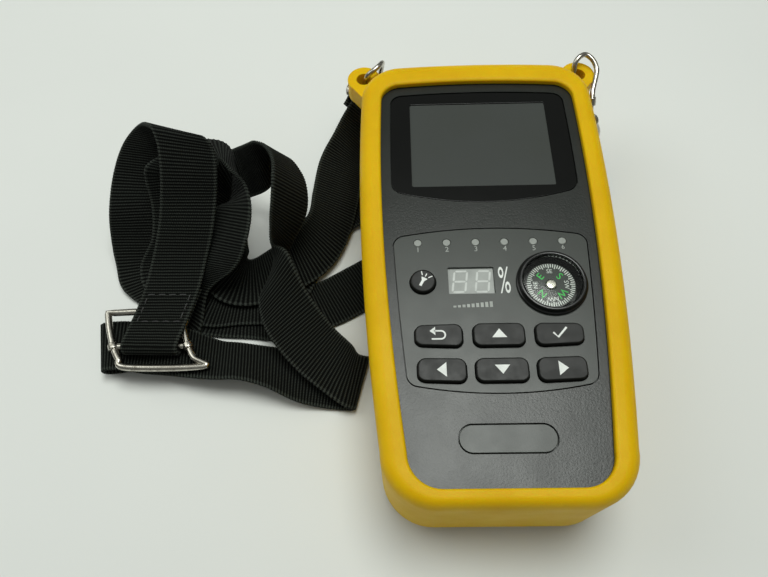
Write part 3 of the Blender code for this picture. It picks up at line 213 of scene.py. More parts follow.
# Woven polypropylene: dull ribs of the weft across, and yarns of the warp that show between them. Its colour
# holds painted shade, dark where the weave lies low, and painted highlight, lighter on the ribs and the
# selvedge.
# Sizes in millimetres; edgeFrom and edgeTo say how far from the middle the selvedge rises
weave = dict(rib=1.15, yarn=0.62, ribShare=0.60, fuzz=0.35, fray=0.15, wobble=4.0, drift=0.12, depth=0.16,
             paintedGrooveShade="#010201", light="#393D38", paintedShadeHeight=0.50, paintedHighlightHeight=1.05, edgeFrom=8.7, edgeTo=9.2,
             edgeRise=0.30, strength=0.8,
             looks={"Roughness": 0.85, "Sheen Weight": 0.02, "Sheen Roughness": 0.4,
                    "Specular IOR Level": 0.10})


def webbingSurface(name):
    material = bpy.data.materials.new(name)
    add = emptyTree(material)
    along = add("Attribute", "Fac", attribute_name="weaveAlong")
    across = add("Attribute", "Fac", attribute_name="weaveAcross")
    place = add("TexCoord", "Object")
    fuzz = add("TexNoise", "Fac", {"Vector": place, "Scale": 1000 / weave["fuzz"]})
    wobble = add("TexNoise", "Fac", {"Vector": place, "Scale": 1000 / weave["wobble"]})
    drift = add("MapRange", "Result", {"Value": wobble, "To Min": -weave["drift"], "To Max": weave["drift"]})
    shifted = add("Math", 0, {0: along, 1: drift}, operation="ADD")
    ribTurn = add("Math", 0, {0: shifted, 1: 2 * math.pi / weave["rib"]}, operation="MULTIPLY")
    # Each row of yarns is half a yarn further across than the one before
    row = add("Math", 0, {0: shifted, 1: weave["rib"]}, operation="DIVIDE")
    row = add("Math", 0, {0: row}, operation="FLOOR")
    stagger = add("Math", 0, {0: row, 1: math.pi}, operation="MULTIPLY")
    yarnTurn = add("Math", 0, {0: across, 1: 2 * math.pi / weave["yarn"], 2: stagger},
                   operation="MULTIPLY_ADD")
    ribs, yarns = [
        add("MapRange", "Result", {"Value": add("Math", 0, {0: turn}, operation="SINE"), "From Min": -1.0})
        for turn in (ribTurn, yarnTurn)]
    height = add("Math", 0, {0: ribs, 1: weave["ribShare"]}, operation="MULTIPLY")
    height = add("Math", 0, {0: yarns, 1: 1 - weave["ribShare"], 2: height}, operation="MULTIPLY_ADD")
    frayed = add("MapRange", "Result", {"Value": fuzz, "To Min": -weave["fray"], "To Max": weave["fray"]})
    outward = add("Math", 0, {0: across}, operation="ABSOLUTE")
    selvedge = add("MapRange", "Result", {"Value": outward, "From Min": weave["edgeFrom"],
                                          "From Max": weave["edgeTo"], "To Max": weave["edgeRise"]})
    for rise in (frayed, selvedge):
        height = add("Math", 0, {0: height, 1: rise}, operation="ADD")
    # Painted shade and highlight: the colour is dark where the weave lies low and light where the ribs, yarns
    # and selvedge stand high
    share = add("MapRange", "Result", {"Value": height, "From Min": weave["paintedShadeHeight"],
                                       "From Max": weave["paintedHighlightHeight"]})
    colour = add("Mix", 2, {0: share, 6: linear(weave["paintedGrooveShade"]), 7: linear(weave["light"])}, data_type="RGBA")
    bump = add("Bump", "Normal", {"Height": height, "Distance": weave["depth"] / 1000,
                                  "Strength": weave["strength"]})
    shader = add("BsdfPrincipled", 0, {"Base Color": colour, "Normal": bump, **weave["looks"]})
    add("OutputMaterial", None, {"Surface": shader})
    return material


webbingWeave = webbingSurface("black polypropylene webbing, woven")
print("stage: materials")

joinWithin = 0.000002


def meshOf(name, shape):
    mesh = bpy.data.meshes.new(name)
    shape.to_mesh(mesh)
    shape.free()
    return mesh


def shapeOf(item):
    # The item as its modifiers leave it, as a bmesh. The item itself goes
    mesh = bpy.data.meshes.new_from_object(item.evaluated_get(bpy.context.evaluated_depsgraph_get()))
    bpy.data.objects.remove(item, do_unlink=True)
    shape = bmesh.new()
    shape.from_mesh(mesh)
    bpy.data.meshes.remove(mesh)
    return shape


def addShape(shape, other):
    mesh = meshOf("joined", other)
    shape.from_mesh(mesh)
    bpy.data.meshes.remove(mesh)


def meshPiece(name, shape, material, rides="case", stands=None, smooth=40):
    # Turns a bmesh in the meter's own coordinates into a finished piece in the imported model's frame
    shape.transform(Matrix.Translation(partShift))
    mesh = meshOf(name, shape)
    item = linked(name, mesh)
    mesh.shade_smooth()
    mesh.set_sharp_from_angle(angle=math.radians(smooth))
    item.modifiers.new("flat faces stay flat", "WEIGHTED_NORMAL").keep_sharp = True
    mesh.materials.append(material)
    if stands:
        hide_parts(stands)
    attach(item, rides)
    return item


def between(near, share):
    before, start, end, after = near
    slopeStart = (end - before) / 2
    slopeEnd = (after - start) / 2
    rise = end - start
    bend = 3 * rise - 2 * slopeStart - slopeEnd
    twist = slopeStart + slopeEnd - 2 * rise
    return start + share * (slopeStart + share * (bend + share * twist))


def smoothRoute(points, steps):
    # Points on a smooth curve through the given ones
    points = [Vector(point) for point in points]
    padded = [points[0], *points, points[-1]]
    route = [between(padded[index:index + 4], step / steps)
             for index in range(len(points) - 1) for step in range(steps)]
    return route + [points[-1]]


def addSpline(curve, points, closed=True):
    spline = curve.splines.new("POLY")
    spline.points.add(len(points) - 1)
    for place, point in zip(spline.points, points):
        place.co = (*Vector(point).to_3d(), 1.0)
    spline.use_cyclic_u = closed


# How far a wire's end bulges, as a share of its radius
domeShare = 0.35


def addWire(shape, points, radius, closed=False, sides=16):
    # A round wire along the points, with domed ends where it is open
    curve = bpy.data.curves.new("wire", "CURVE")
    curve.dimensions = "3D"
    curve.bevel_depth = radius
    curve.bevel_resolution = sides // 2 - 2
    addSpline(curve, points, closed)
    wire = shapeOf(linked("wire", curve))
    ends = bmesh.ops.holes_fill(wire, edges=[edge for edge in wire.edges if edge.is_boundary])["faces"]
    bmesh.ops.recalc_face_normals(wire, faces=wire.faces)
    bmesh.ops.poke(wire, faces=ends, offset=radius * domeShare)
    addShape(shape, wire)


def turnedShape(profile, centre=(0.0, 0.0, 0.0), sides=96):
    # Solid of revolution about Z. The profile of radii and heights starts and ends on the axis
    shape = bmesh.new()
    drawn = [shape.verts.new((radius, 0.0, height)) for radius, height in profile]
    edges = [shape.edges.new(pair) for pair in zip(drawn, drawn[1:])]
    bmesh.ops.spin(shape, geom=drawn + edges, axis=(0.0, 0.0, 1.0), cent=(0.0, 0.0, 0.0), steps=sides,
                   angle=2 * math.pi, use_merge=True)
    bmesh.ops.remove_doubles(shape, verts=shape.verts, dist=joinWithin)
    bmesh.ops.recalc_face_normals(shape, faces=shape.faces)
    shape.transform(Matrix.Translation(centre))
    return shape


# How far a collar's shoulder reaches, as a share of its radius, and where its middle lies in the corner
collarShares = dict(shoulder=0.22, middle=0.3)


def addCollar(shape, start, end, radius, sides=24):
    # A short sleeve with round shoulders between two points
    along = end - start
    edge = radius * collarShares["shoulder"]
    bend = edge * collarShares["middle"]
    profile = [(0.0, 0.0), (radius - edge, 0.0), (radius - bend, bend), (radius, edge)]
    profile += [(size, along.length - height) for size, height in reversed(profile)]
    sleeve = turnedShape(profile, sides=sides)
    sleeve.transform(Matrix.Translation(start) @ along.to_track_quat("Z", "Y").to_matrix().to_4x4())
    addShape(shape, sleeve)


def joinRings(shape, rings):
    # Walls between rings of vertices, and a face over each end
    count = len(rings[0])
    for near, far in zip(rings, rings[1:]):
        for index in range(count):
            following = (index + 1) % count
            shape.faces.new((near[index], near[following], far[following], far[index]))
    shape.faces.new(rings[0][::-1])
    shape.faces.new(rings[-1])
    bmesh.ops.recalc_face_normals(shape, faces=shape.faces)


# Webbing strap, with ribs of the weft that stand a little proud of its faces and its selvedges
webbing = dict(width=0.0200, thickness=0.0012, rib=0.00115, ribSteps=4, ribHeight=0.00012, ribReach=0.00022,
               edgeSteps=4, flatSteps=5, steps=9, smooth=80)
ribSpacing = webbing["rib"] / webbing["ribSteps"]
# Its route as it lies in the photo: a middle point and the direction across the webbing at each place
strapRoute = (
    (-0.1116, 0.0012, 0.0142, -1, 0.01, 0), (-0.1152, -0.0088, 0.0115, -1, 0.01, 0),
    (-0.1179, -0.0156, 0.0085, -1, 0.03, 0), (-0.1179, -0.0195, 0.0084, -1, 0.03, 0),
    (-0.1179, -0.0214, 0.0091, -1, 0.03, 0), (-0.1179, -0.0221, 0.0108, -1, 0.03, 0),
    (-0.1179, -0.0214, 0.0125, -1, 0.03, 0), (-0.1179, -0.0196, 0.0132, -1, 0.03, 0),
    (-0.115, -0.0086, 0.0133, -1, 0.01, 0.01), (-0.1118, 0.001, 0.0159, -1, 0.01, 0.01),
    (-0.1093, 0.0103, 0.02, -1, 0.02, 0), (-0.1061, 0.0185, 0.027, -1, 0.04, 0),
    (-0.1037, 0.0261, 0.035, -1, 0.02, 0), (-0.1018, 0.0319, 0.044, -1, 0.07, 0),
    (-0.1016, 0.0373, 0.0505, -0.99, 0.14, 0.05), (-0.1041, 0.0409, 0.0535, -0.97, 0.24, 0.05),
    (-0.112, 0.047, 0.047, -0.94, 0.34, 0), (-0.1204, 0.0473, 0.038, -0.98, 0.2, 0),
    (-0.1267, 0.0425, 0.028, -0.99, 0.12, 0), (-0.1294, 0.0331, 0.02, -1, -0.03, 0),
    (-0.1312, 0.0255, 0.01, -1, 0.02, 0), (-0.1301, 0.0181, 0.004, -1, -0.08, 0),
    (-0.126, 0.0105, 0.0022, -0.91, -0.41, 0), (-0.111, 0.003, 0.001, -0.62, -0.78, 0),
    (-0.101, -0.0015, 0.0008, -0.3, -0.95, 0), (-0.087, -0.003, 0.0008, 0.05, -1, 0),
    (-0.074, -0.004, 0.0008, 0.15, -0.99, 0), (-0.058, 0.0005, 0.0008, 0.45, -0.89, 0),
    (-0.043, 0.0088, 0.0008, 0.53, -0.85, 0), (-0.02, 0.0228, 0.0008, 0.53, -0.85, 0),
    (0.03, 0.0525, 0.0008, 0.35, -0.94, 0), (0.046, 0.057, 0.0013, 0.1, -1, 0),
    (0.0542, 0.0584, 0.0023, 0.07, -1, 0), (0.0562, 0.0586, 0.0042, 0.07, -1, 0),
    (0.0542, 0.0584, 0.0061, 0.07, -1, 0), (0.046, 0.0576, 0.003, 0.07, -1, 0),
    (0.03, 0.0575, 0.0024, 0.1, -1, 0), (0, 0.0545, 0.0024, 0.12, -0.99, 0),
    (-0.024, 0.049, 0.0024, 0.35, -0.94, 0), (-0.0495, 0.0439, 0.0024, 0.6, -0.8, 0),
    (-0.057, 0.0363, 0.0024, 0.68, -0.73, 0), (-0.0676, 0.0199, 0.0024, 0.86, -0.5, 0),
    (-0.0721, 0.0089, 0.0024, 0.72, -0.7, 0), (-0.0768, 0.0026, 0.0024, 0.25, -0.97, 0),
    (-0.0888, 0.0019, 0.0024, -0.05, -1, 0), (-0.099, 0.001, 0.0026, -0.25, -0.97, 0),
    (-0.108, 0.0045, 0.003, -0.61, -0.79, 0), (-0.117, 0.0091, 0.0038, -0.93, -0.36, 0),
    (-0.1193, 0.016, 0.0065, -1, -0.03, 0), (-0.113, 0.0226, 0.0155, -1, 0.02, 0),
    (-0.1114, 0.0312, 0.0245, -1, 0.03, -0.05), (-0.1112, 0.0364, 0.0335, -1, -0.06, -0.05),
    (-0.1092, 0.0366, 0.0383, -0.98, 0.15, 0.15), (-0.1023, 0.0387, 0.0416, -0.92, 0.38, -0.03),
    (-0.0963, 0.0458, 0.0386, -0.42, 0.81, -0.42), (-0.0904, 0.0428, 0.0365, -0.16, 0.82, -0.54),
    (-0.0873, 0.0321, 0.0309, -0.47, 0.33, -0.82), (-0.0889, 0.0241, 0.0301, -0.79, 0.42, -0.44),
    (-0.0908, 0.0154, 0.0257, -0.79, 0.43, -0.43), (-0.0973, 0.0094, 0.0186, -0.92, 0.32, -0.24),
    (-0.1101, 0.0058, 0.0094, -0.95, 0.32, 0.04), (-0.112, -0.0058, 0.0045, -0.75, 0.62, 0.2),
    (-0.121, -0.0118, 0.0022, -0.6, 0.8, 0), (-0.13, -0.0155, 0.001, -0.42, 0.91, 0),
    (-0.1365, -0.017, 0.002, -0.28, 0.96, 0), (-0.1386, -0.0174, 0.004, -0.24, 0.97, -0.05),
    (-0.1364, -0.0172, 0.006, -0.19, 0.98, -0.1), (-0.13, -0.017, 0.0058, -0.08, 0.99, -0.1),
    (-0.121, -0.0182, 0.0054, -0.03, 1, -0.08), (-0.11, -0.0197, 0.0066, -0.05, 1, -0.08),
    (-0.0955, -0.023, 0.006, -0.13, 0.9, -0.41), (-0.0871, -0.0239, 0.0066, -0.15, 0.87, -0.47),
    (-0.077, -0.026, 0.006, -0.11, 0.91, -0.4), (-0.0661, -0.0289, 0.0035, 0, 0.99, -0.15),
    (-0.0562, -0.0303, 0.0018, 0.1, 0.99, -0.02), (-0.0465, -0.0313, 0.001, 0.2, 0.98, 0),
    (-0.0434, -0.0315, 0.003, 0.24, 0.97, 0), (-0.0468, -0.0312, 0.0052, 0.22, 0.98, 0),
    (-0.0512, -0.0276, 0.007, 0.44, 0.9, 0.02), (-0.0587, -0.0217, 0.0095, 0.63, 0.77, 0.05),
    (-0.0653, -0.0147, 0.013, 0.75, 0.66, 0.12), (-0.0705, -0.0073, 0.017, 0.71, 0.65, 0.26),
    (-0.0737, 0.0017, 0.0215, 0.58, 0.56, 0.59), (-0.074, 0.0113, 0.02, 0.03, -0.06, 1),
    (-0.071, 0.0158, 0.0284, -0.22, -0.16, 0.96), (-0.0675, 0.0209, 0.0363, -0.44, -0.21, 0.87),
    (-0.0665, 0.0267, 0.0414, -0.46, -0.22, 0.86), (-0.0683, 0.0355, 0.0412, -0.37, -0.31, 0.88),
    (-0.0741, 0.0451, 0.037, -0.26, -0.36, 0.9), (-0.0817, 0.0455, 0.0285, -0.25, 0.39, 0.89),
    (-0.0905, 0.0502, 0.0185, -0.21, 0.61, 0.76), (-0.0975, 0.0483, 0.017, -0.46, 0.52, 0.72),
    (-0.0986, 0.0402, 0.0135, -0.85, 0.4, 0.35), (-0.0987, 0.0301, 0.0104, -1, 0, 0.1),
    (-0.0976, 0.0201, 0.0072, -0.97, -0.25, 0), (-0.0939, 0.0107, 0.0056, -0.55, -0.83, 0),
    (-0.0853, 0.0086, 0.0052, 0.12, -0.99, 0), (-0.0761, 0.0131, 0.0058, 0.37, -0.93, -0.02),
    (-0.0684, 0.0156, 0.008, 0.38, -0.87, -0.32), (-0.0604, 0.0219, 0.0104, 0.62, -0.45, -0.64),
    (-0.056, 0.0303, 0.0113, 0.69, -0.14, -0.71), (-0.054, 0.0421, 0.0113, 0.82, -0.01, -0.58),
    (-0.0521, 0.0575, 0.0102, 0.82, -0.05, -0.58), (-0.0488, 0.07, 0.0092, 0.61, -0.1, -0.78),
    (-0.0448, 0.0802, 0.0106, 0.61, 0.03, -0.79), (-0.0404, 0.0889, 0.0127, 0.55, 0.05, -0.83),
    (-0.041, 0.0906, 0.0123, 0.55, 0.05, -0.83), (-0.0423, 0.0912, 0.0114, 0.55, 0.05, -0.83),
    (-0.0436, 0.0906, 0.0105, 0.55, 0.05, -0.83), (-0.0442, 0.089, 0.0102, 0.55, 0.05, -0.83),
    (-0.0456, 0.0864, 0.0096, 0.55, 0.05, -0.83))


def strapPlaces():
    # Places that lie evenly along the route: how far along, the middle, the way across and the way up
    centres = smoothRoute([entry[:3] for entry in strapRoute], webbing["steps"])
    sides = [side.normalized() for side in smoothRoute([entry[3:] for entry in strapRoute], webbing["steps"])]
    spread = []
    travelled = 0.0
    for near, far, side, farSide in zip(centres, centres[1:], sides, sides[1:]):
        length = (far - near).length
        while len(spread) * ribSpacing <= travelled + length:
            distance = len(spread) * ribSpacing
            share = (distance - travelled) / length
            spread.append((distance, near.lerp(far, share), side.lerp(farSide, share).normalized()))
        travelled += length
    last = len(spread) - 1
    places = []
    for index, (distance, centre, side) in enumerate(spread):
        along = spread[min(index + 1, last)][1] - spread[max(index - 1, 0)][1]
        places.append((distance, centre, side, along.cross(side).normalized()))
    return places, centres, travelled


def webbingSection():
    # Flat faces with round selvedges, as places across and up
    edge = webbing["thickness"] / 2
    flat = webbing["width"] / 2 - edge
    points = []
    for sign in (1, -1):
        for step in range(webbing["flatSteps"]):
            points.append((sign * flat * (1 - 2 * step / webbing["flatSteps"]), sign * edge))
        for step in range(webbing["edgeSteps"]):
            turn = math.pi * step / webbing["edgeSteps"]
            points.append((-sign * (flat + edge * math.sin(turn)), sign * edge * math.cos(turn)))
    return points


def makeStrap(places):
    section = webbingSection()
    shape = bmesh.new()
    alongLayer = shape.verts.layers.float.new("weaveAlong")
    acrossLayer = shape.verts.layers.float.new("weaveAcross")
    rings = []
    for distance, centre, side, up in places:
        wave = math.sin(2 * math.pi * distance / webbing["rib"])
        wider = 1 + abs(wave) * webbing["ribReach"] * 2 / webbing["width"]
        thicker = 1 + wave * webbing["ribHeight"] * 2 / webbing["thickness"]
        ring = []
        for across, height in section:
            vertex = shape.verts.new(centre + side * across * wider + up * height * thicker)
            vertex[alongLayer] = distance * 1000
            vertex[acrossLayer] = across * 1000
            ring.append(vertex)
        rings.append(ring)
    joinRings(shape, rings)
    return meshPiece("webbing_strap", shape, webbingWeave, stands="strap", smooth=webbing["smooth"])


places, strapCentres, strapLength = strapPlaces()
strap = makeStrap(places)
print("stage: strap", round(strapLength, 3))

# Wire slider on the strap. Its left side is bent, and its right side is the same one further along
slider = dict(wire=0.00125, width=0.0268, height=0.0108, collar=0.00195, collarLength=0.0024, steps=8,
              side=((-0.1360, -0.0063), (-0.1341, -0.0130), (-0.1315, -0.0197), (-0.1289, -0.0242),
                    (-0.1252, -0.0275)))


def makeSlider():
    across = Vector((slider["width"], 0.0, 0.0))
    left = [Vector((x, y, slider["height"])) for x, y in slider["side"]]
    right = [place + across for place in reversed(left)]
    shape = bmesh.new()
    addWire(shape, smoothRoute(left + right + [left[0]], slider["steps"])[:-1], slider["wire"], True)
    frameWire = meshPiece("slider_wire", shape, nickelPlate, stands="slider_frame")
    middle = len(left) // 2
    start = left[middle]
    shape = bmesh.new()
    addWire(shape, [start, start + across / 2, start + across], slider["wire"])
    along = (left[middle + 1] - left[middle - 1]).normalized() * slider["collarLength"] / 2
    for centre in (start, start + across):
        addCollar(shape, centre - along, centre + along, slider["collar"])
    return frameWire, meshPiece("slider_crossbar", shape, nickelPlate, stands="slider_bar")


# Box of stitches that holds the strap's end round the slider's bar. It starts at a row near the bar and
# reaches back from there
stitches = dict(start=0.0395, reach=0.0105, inset=0.0024, length=0.0022, gap=0.0009, thread=0.00024,
                raised=0.00022, sides=6)


def makeStitches(places):
    def onUpperFace(distance, across, raised):
        centre, side, up = places[round(distance / ribSpacing)][1:]
        facing = up if up.z > 0 else -up
        return centre + side * across + facing * (webbing["thickness"] / 2 + raised)

    start = stitches["start"]
    end = start + stitches["reach"]
    half = webbing["width"] / 2 - stitches["inset"]
    corners = [Vector(corner) for corner in ((start, half), (end, half), (end, -half), (start, -half))]
    shape = bmesh.new()
    for corner, following in zip(corners, corners[1:] + corners[:1]):
        run = (following - corner).length
        count = int(run / (stitches["length"] + stitches["gap"]))
        for number in range(count):
            points = []
            for share, raised in ((0.0, 0.0), (0.5, stitches["raised"]), (1.0, 0.0)):
                reached = number / count + share * stitches["length"] / run
                points.append(onUpperFace(*corner.lerp(following, reached), raised))
            addWire(shape, points, stitches["thread"], sides=stitches["sides"])
    return meshPiece("strap_stitches", shape, threadBlack)


sliderPieces = makeSlider()
strapStitches = makeStitches(places)
print("stage: slider and cord")

# Outline of the meter seen from the front, and its stack from the table up
body = dict(low=-0.081, high=0.081, inset=0.0, radiusLow=0.016, radiusHigh=0.014, bowLow=0.0, bowHigh=0.0018,
            widestHalf=0.0426, widestY=0.040, sideDrop=0.0088, wall=0.0033, foot=0.0036, floor=0.0066,
            split=0.0245, face=0.0430, rim=0.0455, gap=0.0003, coverWall=0.0026)
outlineSteps = dict(corner=12, end=8, side=20)
bodyInset = body["wall"] + body["gap"]
coverUnderside = body["face"] - body["coverWall"]


def sideX(y, inset):
    share = (y - body["widestY"]) / (body["widestY"] - body["low"])
    return body["widestHalf"] - body["sideDrop"] * share * share - inset


def quarter(steps):
    # Sine and cosine in even steps through a quarter turn
    turns = [math.pi / 2 * step / steps for step in range(steps + 1)]
    return [(math.sin(turn), math.cos(turn)) for turn in turns]


def outline(item, shrink=0.0):
    # A closed outline from a piece's own sizes, with bowed sides and ends and round corners. Runs
    # counter-clockwise, and can be drawn smaller all round
    radiusLow = item["radiusLow"] - shrink
    radiusHigh = item["radiusHigh"] - shrink
    low = item["low"] + shrink
    high = item["high"] - shrink
    inset = item["inset"] + shrink
    foot = low + item["bowLow"] + radiusLow
    head = high - item["bowHigh"] - radiusHigh
    footX = sideX(foot, inset)
    headX = sideX(head, inset)
    corner = quarter(outlineSteps["corner"])
    endShares = [step / outlineSteps["end"] for step in range(outlineSteps["end"])]
    lowEnd = [((footX - radiusLow) * share, 0.0) for share in endShares]
    lowEnd += [(footX - radiusLow * (1 - sine), radiusLow * (1 - cosine)) for sine, cosine in corner]
    highEnd = [(headX - radiusHigh * (1 - cosine), radiusHigh * (1 - sine)) for sine, cosine in corner]
    highEnd += [((headX - radiusHigh) * share, 0.0) for share in reversed(endShares)]
    half = [(x, low + item["bowLow"] * (x / footX) ** 2 + up) for x, up in lowEnd]
    for step in range(1, outlineSteps["side"]):
        y = foot + (head - foot) * step / outlineSteps["side"]
        half.append((sideX(y, inset), y))
    half += [(x, high - item["bowHigh"] * (x / headX) ** 2 - down) for x, down in highEnd]
    return half + [(-x, y) for x, y in reversed(half) if x > 0]


def arc(centre, radius, first, last, steps):
    # Points round a centre, between two angles in degrees
    turns = [math.radians(first + (last - first) * step / steps) for step in range(steps + 1)]
    return [(centre[0] + radius * math.cos(turn), centre[1] + radius * math.sin(turn)) for turn in turns]


def circle(centre, radius, steps=48):
    return arc(centre, radius, 0, 360, steps)[:-1]


def roundedRectangle(centre, width, height, radius, steps=8):
    points = []
    for signX, signY, start in ((1, 1, 0), (-1, 1, 90), (-1, -1, 180), (1, -1, 270)):
        corner = (centre[0] + signX * (width / 2 - radius), centre[1] + signY * (height / 2 - radius))
        points += arc(corner, radius, start, start + 90, steps)
    return points


# Angles in degrees: faces that turn less are one face, and edges that turn more are rims
plateAngles = dict(flat=0.05, rim=60)


def plateShape(outlines, low, high, rounding=0.0, segments=3, under=True):
    # Flat plate; outlines after the first are holes. Its rims can be rounded, the lower ones only if asked
    curve = bpy.data.curves.new("drawing", "CURVE")
    curve.dimensions = "2D"
    curve.fill_mode = "BOTH"
    curve.extrude = (high - low) / 2
    for points in outlines:
        addSpline(curve, points)
    shape = shapeOf(linked("drawing", curve))
    bmesh.ops.remove_doubles(shape, verts=shape.verts, dist=joinWithin)
    bmesh.ops.dissolve_limit(shape, angle_limit=math.radians(plateAngles["flat"]), verts=shape.verts,
                             edges=shape.edges)
    middle = (low + high) / 2
    shape.transform(Matrix.Translation((0.0, 0.0, middle)))
    if rounding:
        shape.normal_update()
        rims = []
        for edge in shape.edges:
            first, last = [vertex.co.z for vertex in edge.verts]
            level = abs(first - last) < joinWithin and (under or first > middle)
            if level and edge.is_manifold and edge.calc_face_angle() > math.radians(plateAngles["rim"]):
                rims.append(edge)
        bmesh.ops.bevel(shape, geom=rims, offset=rounding, segments=segments, profile=0.5, affect="EDGES",
                        material=-1, clamp_overlap=True)
    return shape


def addBar(shape, radius, low, high, centre, sides=32, rounding=0.0, segments=2):
    # An upright cylinder, with round rims where asked
    bar = bmesh.new()
    bmesh.ops.create_cone(bar, cap_ends=True, segments=sides, radius1=radius, radius2=radius,
                          depth=high - low, matrix=Matrix.Translation((*centre, (low + high) / 2)))
    if rounding:
        rims = [edge for edge in bar.edges if any(len(face.verts) > 4 for face in edge.link_faces)]
        bmesh.ops.bevel(bar, geom=rims, offset=rounding, segments=segments, profile=0.5, affect="EDGES",
                        material=-1)
    addShape(shape, bar)


def boxShape(width, height, low, high, centre):
    shape = bmesh.new()
    bmesh.ops.create_cube(shape, size=1.0)
    bmesh.ops.scale(shape, vec=(width, height, high - low), verts=shape.verts)
    shape.transform(Matrix.Translation((*centre, (low + high) / 2)))
    return shape


def cutShape(shape, cutter):
    # The shape less the cutter, as an exact Boolean
    item = linked("cutFrom", meshOf("cutFrom", shape))
    tool = linked("cutter", meshOf("cutter", cutter))
    step = item.modifiers.new("cut", "BOOLEAN")
    step.operation = "DIFFERENCE"
    step.solver = "EXACT"
    step.object = tool
    result = shapeOf(item)
    bpy.data.objects.remove(tool, do_unlink=True)
    return result


# Lays along Y, towards the sockets, what stands along Z
alongY = Matrix.Rotation(-math.pi / 2, 4, "X")

# Rubber holster: its rim round the opening, the lugs at the top corners, feet and the window for sockets
rim = dict(low=-0.0758, high=0.0703, inset=0.0075, radiusLow=0.0095, radiusHigh=0.0065, bowLow=0.0,
           bowHigh=0.0018, roundedShare=0.60, fall=0.0050, lipShare=0.86, lipFall=0.0009, base=0.0045,
           steps=9, lipSteps=4, levels=6)
ear = dict(x=0.0418, y=0.0822, radius=0.0064, hole=0.0029, low=0.0275, high=0.0352, rounding=0.0026,
           sideRootY=0.0700, topRootX=0.0290, first=-50, last=150, steps=40)
footPad = dict(radius=0.0045, x=0.0250, y=0.0730, sunk=0.001125, rounding=0.0004)
portWindow = dict(width=0.058, low=0.0150, high=0.0345, corner=0.0030)


def earOutline(sign):
    points = [(sideX(ear["sideRootY"], body["wall"] / 2), ear["sideRootY"]),
              *arc((ear["x"], ear["y"]), ear["radius"], ear["first"], ear["last"], ear["steps"]),
              (ear["topRootX"], body["high"] - body["bowHigh"] - body["wall"] / 2)]
    return points if sign > 0 else [(-x, y) for x, y in reversed(points)]


def holsterRings():
    # From the outside of the base, over the rim and down to the cavity's floor
    outer = outline(body)
    inner = outline(rim)

    def rimRing(share, height):
        return [(a[0] + (b[0] - a[0]) * share, a[1] + (b[1] - a[1]) * share, height)
                for a, b in zip(outer, inner)]

    rings = []
    for sine, cosine in quarter(rim["steps"]):
        height = body["foot"] + rim["base"] * (1 - cosine)
        rings.append([(x, y, height) for x, y in outline(body, rim["base"] * (1 - sine))])
    start = body["foot"] + rim["base"]
    end = body["rim"] - rim["fall"]
    rings += [rimRing(0.0, start + (end - start) * step / rim["levels"]) for step in range(1, rim["levels"])]
    rings += [rimRing(rim["roundedShare"] * (1 - cosine), body["rim"] - rim["fall"] * (1 - sine))
              for sine, cosine in quarter(rim["steps"])]
    rings += [rimRing(1 - (1 - rim["lipShare"]) * (1 - sine), body["rim"] - rim["lipFall"] * (1 - cosine))
              for sine, cosine in quarter(rim["lipSteps"])]
    underside = body["face"] + body["gap"]
    rings.append(rimRing(1.0, underside))
    for height in (underside, body["floor"]):
        rings.append([(x, y, height) for x, y in outline(body, body["wall"])])
    return rings


def makeHolster():
    shape = bmesh.new()
    joinRings(shape, [[shape.verts.new(point) for point in ring] for ring in holsterRings()])
    drawn = roundedRectangle((0.0, -(portWindow["low"] + portWindow["high"]) / 2), portWindow["width"],
                             portWindow["high"] - portWindow["low"], portWindow["corner"])
    window = plateShape([drawn], body["high"] - 2 * rim["inset"], body["high"] + rim["inset"])
    window.transform(alongY)
    shape = cutShape(shape, window)
    for sign in (-1, 1):
        hole = circle((sign * ear["x"], ear["y"]), ear["hole"], 32)
        addShape(shape, plateShape([earOutline(sign), hole], ear["low"], ear["high"], ear["rounding"], 6))
        for signY in (-1, 1):
            addBar(shape, footPad["radius"], 0.0, body["foot"] + footPad["sunk"],
                   (sign * footPad["x"], signY * footPad["y"]), 32, footPad["rounding"])
    meshPiece("holster_rubber", shape, yellowRubber, stands="holster", smooth=50)


makeHolster()
print("stage: holster")

# Front cover, and what is sunk in it. An overlap joins a sunk floor to its walls
cover = dict(rounding=0.00035, overlap=0.0001)
lens = dict(inset=0.0107, low=0.0173, high=0.0666, radiusLow=0.0035, radiusHigh=0.004, bowLow=0.0050,
            bowHigh=0.0014, depth=0.0012, thickness=0.0007, rounding=0.00015)
screen = dict(width=0.0490, height=0.0369, y=0.0427, radius=0.0008, sunk=0.00045)
panel = dict(inset=0.0103, low=-0.0493, high=0.0071, radiusLow=0.0032, radiusHigh=0.0032, bowLow=0.0030,
             bowHigh=0.0031, thickness=0.0014, groove=0.00035, rounding=0.00018)
badge = dict(width=0.0281, height=0.0086, thickness=0.0010, y=-0.0621, roundShare=0.495, steps=14)
portCut = dict(low=0.0165, high=0.0330, width=0.054)


def badgeOutline(shrink=0.0):
    height = badge["height"] - 2 * shrink
    return roundedRectangle((0.0, badge["y"]), badge["width"] - 2 * shrink, height,
                            height * badge["roundShare"], badge["steps"])


# Keys in three columns and two rows. Those at the sides get lower towards the panel's edge, and in the
# lower row their tops rise again
keys = dict(middleWidth=0.0154, outerWidth=0.0143, middleHeight=0.0078, outerHeight=0.0074,
            rows=(-0.0313, -0.0424), spreads=(0.0180, 0.0175), radius=0.0024, taper=0.0006, proud=0.0016,
            gap=0.00025, rounding=0.00055, flange=0.0009, flangeThickness=0.0010)
keyTable = (("return", -1, 0), ("up", 0, 0), ("ok", 1, 0), ("left", -1, 1), ("down", 0, 1), ("right", 1, 1))


def keyCentre(column, row):
    return column * keys["spreads"][row], keys["rows"][row]


